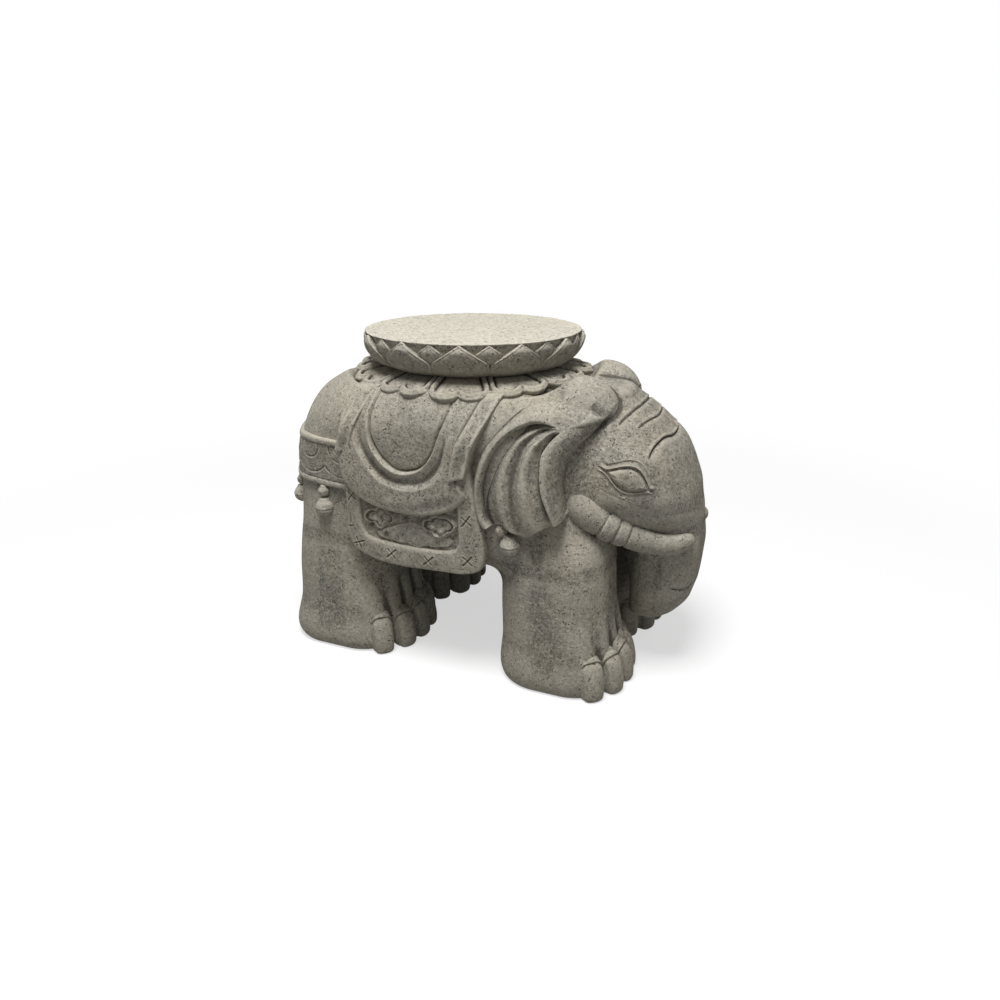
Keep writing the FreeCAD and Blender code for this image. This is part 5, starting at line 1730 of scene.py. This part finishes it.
def set_world(scene, strength):
    """Even sky light, seen as plain white."""
    world = bpy.data.worlds.new("sky")
    world.use_nodes = True
    sky = Nodes(world.node_tree)
    plain = sky.add("ShaderNodeBackground", inputs={"Color": WHITE, "Strength": strength})
    white = sky.add("ShaderNodeBackground", inputs={"Color": WHITE})
    either = {0: seen(sky), 1: plain.outputs[0], 2: white.outputs[0]}
    mix = sky.add("ShaderNodeMixShader", inputs=either)
    sky.add("ShaderNodeOutputWorld", inputs={"Surface": mix.outputs[0]})
    scene.world = world


def aimed(scene, name, data, place, back):
    """Stand a lamp or a camera at a place, with its back turned to a direction."""
    holder = bpy.data.objects.new(name, data)
    holder.location = place
    holder.rotation_euler = back.to_track_quat("Z", "Y").to_euler()
    scene.collection.objects.link(holder)
    return holder


def add_floor(scene):
    """The square floor, kept out of the object's own size."""
    mesh = bpy.data.meshes.new("floor")
    corners = [(x * FLOOR_HALF, y * FLOOR_HALF, 0.0) for x, y in ((-1, -1), (1, -1), (1, 1), (-1, 1))]
    mesh.from_pydata(corners, [], [(0, 1, 2, 3)])
    mesh.materials.append(floor_material())
    floor = bpy.data.objects.new("floor", mesh)
    scene.collection.objects.link(floor)


def add_lamps(scene, lights):
    """The two round lamps, aimed at the object."""
    for name, place, width, setting in LAMPS:
        lamp = bpy.data.lights.new(name, "AREA")
        lamp.shape = "DISK"
        lamp.size = width
        lamp.energy = getattr(lights, setting)
        aimed(scene, name, lamp, place, Vector(place) - Vector(LAMP_AIM))


def add_camera(scene, shift):
    """The camera fitted to the photo: its back is the ray from the aim at its turn and lift."""
    camera = bpy.data.cameras.new("camera")
    camera.lens = CAMERA_LENS
    camera.sensor_width = CAMERA_SENSOR
    camera.shift_y = shift
    turn, lift = math.radians(CAMERA_TURN), math.radians(CAMERA_LIFT)
    back = Vector((math.sin(turn) * math.cos(lift), -math.cos(turn) * math.cos(lift), math.sin(lift)))
    place = Vector(CAMERA_AIM) * MM + back * CAMERA_REACH * MM
    scene.camera = aimed(scene, "camera", camera, place, back)


def colour(name, description, default):
    """A colour setting of three shares from 0 to 1."""
    return FloatVectorProperty(
        name=name, description=description, default=default, min=0.0, max=1.0, size=3, subtype="COLOR"
    )


def power(name, description, default):
    """A lamp's power setting, in watts."""
    return FloatProperty(
        name=name, description=description, default=default, min=0.0, subtype="POWER", unit="POWER"
    )


class StoolSizes(bpy.types.PropertyGroup):
    """Sizes that a user may change."""

    detail: FloatProperty(
        name="Detail",
        description="Share of the full number of points on each carved surface",
        default=0.89,
        min=0.2,
        max=1.0,
        subtype="FACTOR",
    )
    bell_radius: FloatProperty(
        name="Bell radius",
        description="Radius of the large bells on the straps",
        default=BELL_RADIUS,
        min=0.008,
        max=0.02,
        subtype="DISTANCE",
        unit="LENGTH",
    )


class StoneColours(bpy.types.PropertyGroup):
    """Colours of the weathered stone and of the hidden steel."""

    cool: colour("Cool stone", "Grey blotches of the stone", (0.250, 0.236, 0.205))
    warm: colour("Warm stone", "Sandy blotches of the stone", (0.325, 0.290, 0.228))
    # Dark stone: the darker mottling, and the painted shade towards the bottom.
    dark: colour("Dark stone", "Damp, darker mottling", (0.135, 0.124, 0.100))
    pale: colour("Pale stone", "Rubbed ridges and pale grains", (0.520, 0.485, 0.400))
    # Pit colour: dirt in the pits, and in the crevices dirt and painted shade.
    pit: colour("Pits", "Dirt in the pits and crevices", (0.050, 0.043, 0.034))
    # Seat top colour: bleaching, and painted light from above.
    top: colour("Seat top", "Bleached top of the seat", (0.585, 0.550, 0.465))
    steel: colour("Steel", "Drawn steel of the hidden dowels", (0.30, 0.30, 0.31))


class StageLights(bpy.types.PropertyGroup):
    """Strengths of the lamps and the sky, and the picture's shift."""

    key: power("Key light", "Power of the large soft lamp above", 87.0)
    fill: power("Fill light", "Power of the weak lamp at the front", 2.0)
    sky: FloatProperty(
        name="Sky", description="Strength of the even light from all round", default=0.25, min=0.0
    )
    shift: FloatProperty(
        name="Camera shift",
        description="Upward shift of the picture, as a share of its width",
        default=0.0046,
        precision=4,
    )


def points_share(context):
    """The user's share of the full number of points."""
    return context.scene.stool_sizes.detail


def stone(slot):
    """The stone material of one slot, made when first asked for."""
    made = bpy.data.materials.get("carved_" + slot)
    if made is None:
        look = bpy.context.scene.stool_stone
        worn = CLOTH_WORN if slot == "cloth_stone" else 0.0
        made = stone_material("carved_" + slot, look, slot == "seat_stone", worn)
    return made


def put(node, shells, slot):
    """Make one piece of the object from closed shells, in place of the CAD node that it is named for."""
    if not shells:
        raise RuntimeError(node + " has no surface")
    name = "stone_" + node
    piece = bpy.data.objects.new(name, mesh_of(name, shells))
    bpy.context.scene.collection.objects.link(piece)
    piece.data.materials.append(stone(slot))
    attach(piece, "root")
    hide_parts(node)


def both_sides(node, right_shells, slot):
    """Make a right piece and its mirror image on the left; the node's name holds a place for the side."""
    put(node.format(side="right"), right_shells, slot)
    left_shells = [
        (mirrored(vertices), quads[:, ::-1], triangles[:, ::-1], depth)
        for vertices, quads, triangles, depth in right_shells
    ]
    put(node.format(side="left"), left_shells, slot)


class STOOL_OT_torso(bpy.types.Operator):
    """Carve the barrel, the rump and the shoulders"""

    bl_idname = "stool.torso"
    bl_label = "Torso"

    def execute(self, context):
        put("torso", [torso_shell(points_share(context))], "body_stone")
        return {"FINISHED"}


class STOOL_OT_head(bpy.types.Operator):
    """Carve the skull with its domes, the face and the forehead creases"""

    bl_idname = "stool.head"
    bl_label = "Head"

    def execute(self, context):
        put("head", [head_shell(points_share(context))], "body_stone")
        return {"FINISHED"}


class STOOL_OT_trunk(bpy.types.Operator):
    """Carve the hanging trunk with its curl"""

    bl_idname = "stool.trunk"
    bl_label = "Trunk"

    def execute(self, context):
        put("trunk", [trunk_shell(points_share(context))], "body_stone")
        return {"FINISHED"}


class STOOL_OT_legs(bpy.types.Operator):
    """Carve the four legs with the tendons above their toes"""

    bl_idname = "stool.legs"
    bl_label = "Legs"

    def execute(self, context):
        for end in ("front", "rear"):
            made = [leg_shell(points_share(context), end == "front")]
            both_sides(end + "_{side}_leg", made, "body_stone")
        return {"FINISHED"}


class STOOL_OT_ears(bpy.types.Operator):
    """Carve the ears with their rim, flutes and flap"""

    bl_idname = "stool.ears"
    bl_label = "Ears"

    def execute(self, context):
        both_sides("{side}_ear", [ear_shell(points_share(context))], "body_stone")
        return {"FINISHED"}


class STOOL_OT_eyes(bpy.types.Operator):
    """Carve the almond eyes with their lids"""

    bl_idname = "stool.eyes"
    bl_label = "Eyes"

    def execute(self, context):
        both_sides("{side}_eye", [eye_shell(points_share(context))], "body_stone")
        return {"FINISHED"}


class STOOL_OT_tusks(bpy.types.Operator):
    """Carve the tusks and the bands round them"""

    bl_idname = "stool.tusks"
    bl_label = "Tusks"

    def execute(self, context):
        detail = points_share(context)
        both_sides("{side}_tusk", [tusk_shell(detail)], "body_stone")
        both_sides("{side}_tusk_ring", [tusk_ring_shell(detail)], "body_stone")
        return {"FINISHED"}


class STOOL_OT_toes(bpy.types.Operator):
    """Carve five toes with nails on each foot"""

    bl_idname = "stool.toes"
    bl_label = "Toes"

    def execute(self, context):
        detail = points_share(context)
        for end, toes in (("front", FRONT_TOES), ("rear", REAR_TOES)):
            made = [toe_shell(detail, end == "front", toe, number) for number, toe in enumerate(toes)]
            both_sides(end + "_{side}_toes", made, "body_stone")
        return {"FINISHED"}


class STOOL_OT_tail(bpy.types.Operator):
    """Carve the tail with its tuft"""

    bl_idname = "stool.tail"
    bl_label = "Tail"

    def execute(self, context):
        put("tail", [tail_shell(points_share(context))], "body_stone")
        return {"FINISHED"}


class STOOL_OT_band(bpy.types.Operator):
    """Carve the scalloped strap round the rump"""

    bl_idname = "stool.band"
    bl_label = "Crupper band"

    def execute(self, context):
        put("crupper_band", [band_shell(points_share(context))], "cloth_stone")
        return {"FINISHED"}


class STOOL_OT_bells(bpy.types.Operator):
    """Cast the pairs of bells that hang at the shoulders and from the strap"""

    bl_idname = "stool.bells"
    bl_label = "Bells"

    def execute(self, context):
        sizes = context.scene.stool_sizes
        share = sizes.bell_radius / BELL_RADIUS
        for node, places in BELLS.items():
            made = [bell_shell(sizes.detail, x, y, z, radius * share) for x, y, z, radius in places]
            both_sides("{side}_" + node, made, "cloth_stone")
        return {"FINISHED"}


class STOOL_OT_saddle_cloth(bpy.types.Operator):
    """Carve the saddle cloth: raised border, recessed panel and cloud scrolls"""

    bl_idname = "stool.saddle_cloth"
    bl_label = "Saddle cloth"

    def execute(self, context):
        detail = points_share(context)
        both_sides("{side}_cloth_border", [border_shell(detail)], "cloth_stone")
        both_sides("{side}_cloth_field", [field_shell(detail)], "cloth_stone")
        both_sides("{side}_cloud_relief", relief_shells(detail), "cloth_stone")
        return {"FINISHED"}


class STOOL_OT_draped_cloth(bpy.types.Operator):
    """Carve the draped upper cloth: swag, seat cloth and the two ribbons"""

    bl_idname = "stool.draped_cloth"
    bl_label = "Draped cloth"

    def execute(self, context):
        detail = points_share(context)
        both_sides("{side}_swag", [swag_shell(detail)], "cloth_stone")
        both_sides("{side}_seat_cloth", [seat_cloth_shell(detail)], "cloth_stone")
        for node, ribbons in RIBBONS.items():
            made = [ribbon_shell(detail * share, curves, low, lean) for share, curves, low, lean in ribbons]
            both_sides("{side}_" + node, made, "cloth_stone")
        return {"FINISHED"}


class STOOL_OT_seat(bpy.types.Operator):
    """Carve the lotus seat with its two rings of petals"""

    bl_idname = "stool.seat"
    bl_label = "Lotus seat"

    def execute(self, context):
        detail = points_share(context)
        put("lotus_seat", [seat_shell(detail)], "seat_stone")
        for node, petals in PETALS.items():
            put(node, petal_shells(detail, petals), "seat_stone")
        return {"FINISHED"}


class STOOL_OT_skirt(bpy.types.Operator):
    """Carve the collar of two-lobed leaves under the seat"""

    bl_idname = "stool.skirt"
    bl_label = "Lobed collar"

    def execute(self, context):
        put("lobed_skirt", [skirt_shell(points_share(context))], "seat_stone")
        return {"FINISHED"}


class STOOL_OT_frame(bpy.types.Operator):
    """Finish the CAD pieces that keep their own shape"""

    bl_idname = "stool.frame"
    bl_label = "Frame finish"

    def execute(self, context):
        colours = context.scene.stool_stone
        steel = steel_material("dowel_steel", colours)
        for name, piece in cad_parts.items():
            look = steel if "dowel" in name else stone("body_stone")
            piece.data.materials.clear()
            piece.data.materials.append(look)
        return {"FINISHED"}


class STOOL_OT_stage(bpy.types.Operator):
    """Set up the pale floor, the white background, the soft lamps and the camera"""

    bl_idname = "stool.stage"
    bl_label = "Stage"

    def execute(self, context):
        scene, lights = context.scene, context.scene.stool_lights
        add_floor(scene)
        set_world(scene, lights.sky)
        add_lamps(scene, lights)
        add_camera(scene, lights.shift)
        scene.view_settings.view_transform = "Standard"
        return {"FINISHED"}


BUILDERS = (
    STOOL_OT_torso,
    STOOL_OT_head,
    STOOL_OT_trunk,
    STOOL_OT_legs,
    STOOL_OT_ears,
    STOOL_OT_eyes,
    STOOL_OT_tusks,
    STOOL_OT_toes,
    STOOL_OT_tail,
    STOOL_OT_band,
    STOOL_OT_bells,
    STOOL_OT_saddle_cloth,
    STOOL_OT_draped_cloth,
    STOOL_OT_seat,
    STOOL_OT_skirt,
)


class STOOL_PT_panel(bpy.types.Panel):
    """Lists the sizes, the colours and the pieces of the stool"""

    bl_idname = "STOOL_PT_panel"
    bl_label = "Elephant Stool"
    bl_space_type = "VIEW_3D"
    bl_region_type = "UI"
    bl_category = "Elephant Stool"

    def draw(self, context):
        layout = self.layout
        for group in (context.scene.stool_sizes, context.scene.stool_stone, context.scene.stool_lights):
            box = layout.box()
            for key in type(group).__annotations__:
                box.prop(group, key)
        for operator in (STOOL_OT_frame, *BUILDERS, STOOL_OT_stage):
            layout.operator(operator.bl_idname)


CLASSES = (StoolSizes, StoneColours, StageLights, STOOL_OT_frame, *BUILDERS, STOOL_OT_stage, STOOL_PT_panel)


def register():
    """Register every class, and hang the settings on the scene."""
    for each in CLASSES:
        bpy.utils.register_class(each)
    bpy.types.Scene.stool_sizes = PointerProperty(type=StoolSizes)
    bpy.types.Scene.stool_stone = PointerProperty(type=StoneColours)
    bpy.types.Scene.stool_lights = PointerProperty(type=StageLights)


def unregister():
    """Take the settings off the scene, and unregister every class."""
    del bpy.types.Scene.stool_sizes, bpy.types.Scene.stool_stone, bpy.types.Scene.stool_lights
    for each in reversed(CLASSES):
        bpy.utils.unregister_class(each)


def main():
    register()
    bpy.ops.stool.frame()
    for operator in BUILDERS:
        group, name = operator.bl_idname.split(".")
        getattr(getattr(bpy.ops, group), name)()
    bpy.ops.stool.stage()
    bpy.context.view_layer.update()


if __name__ == "__main__":
    main()
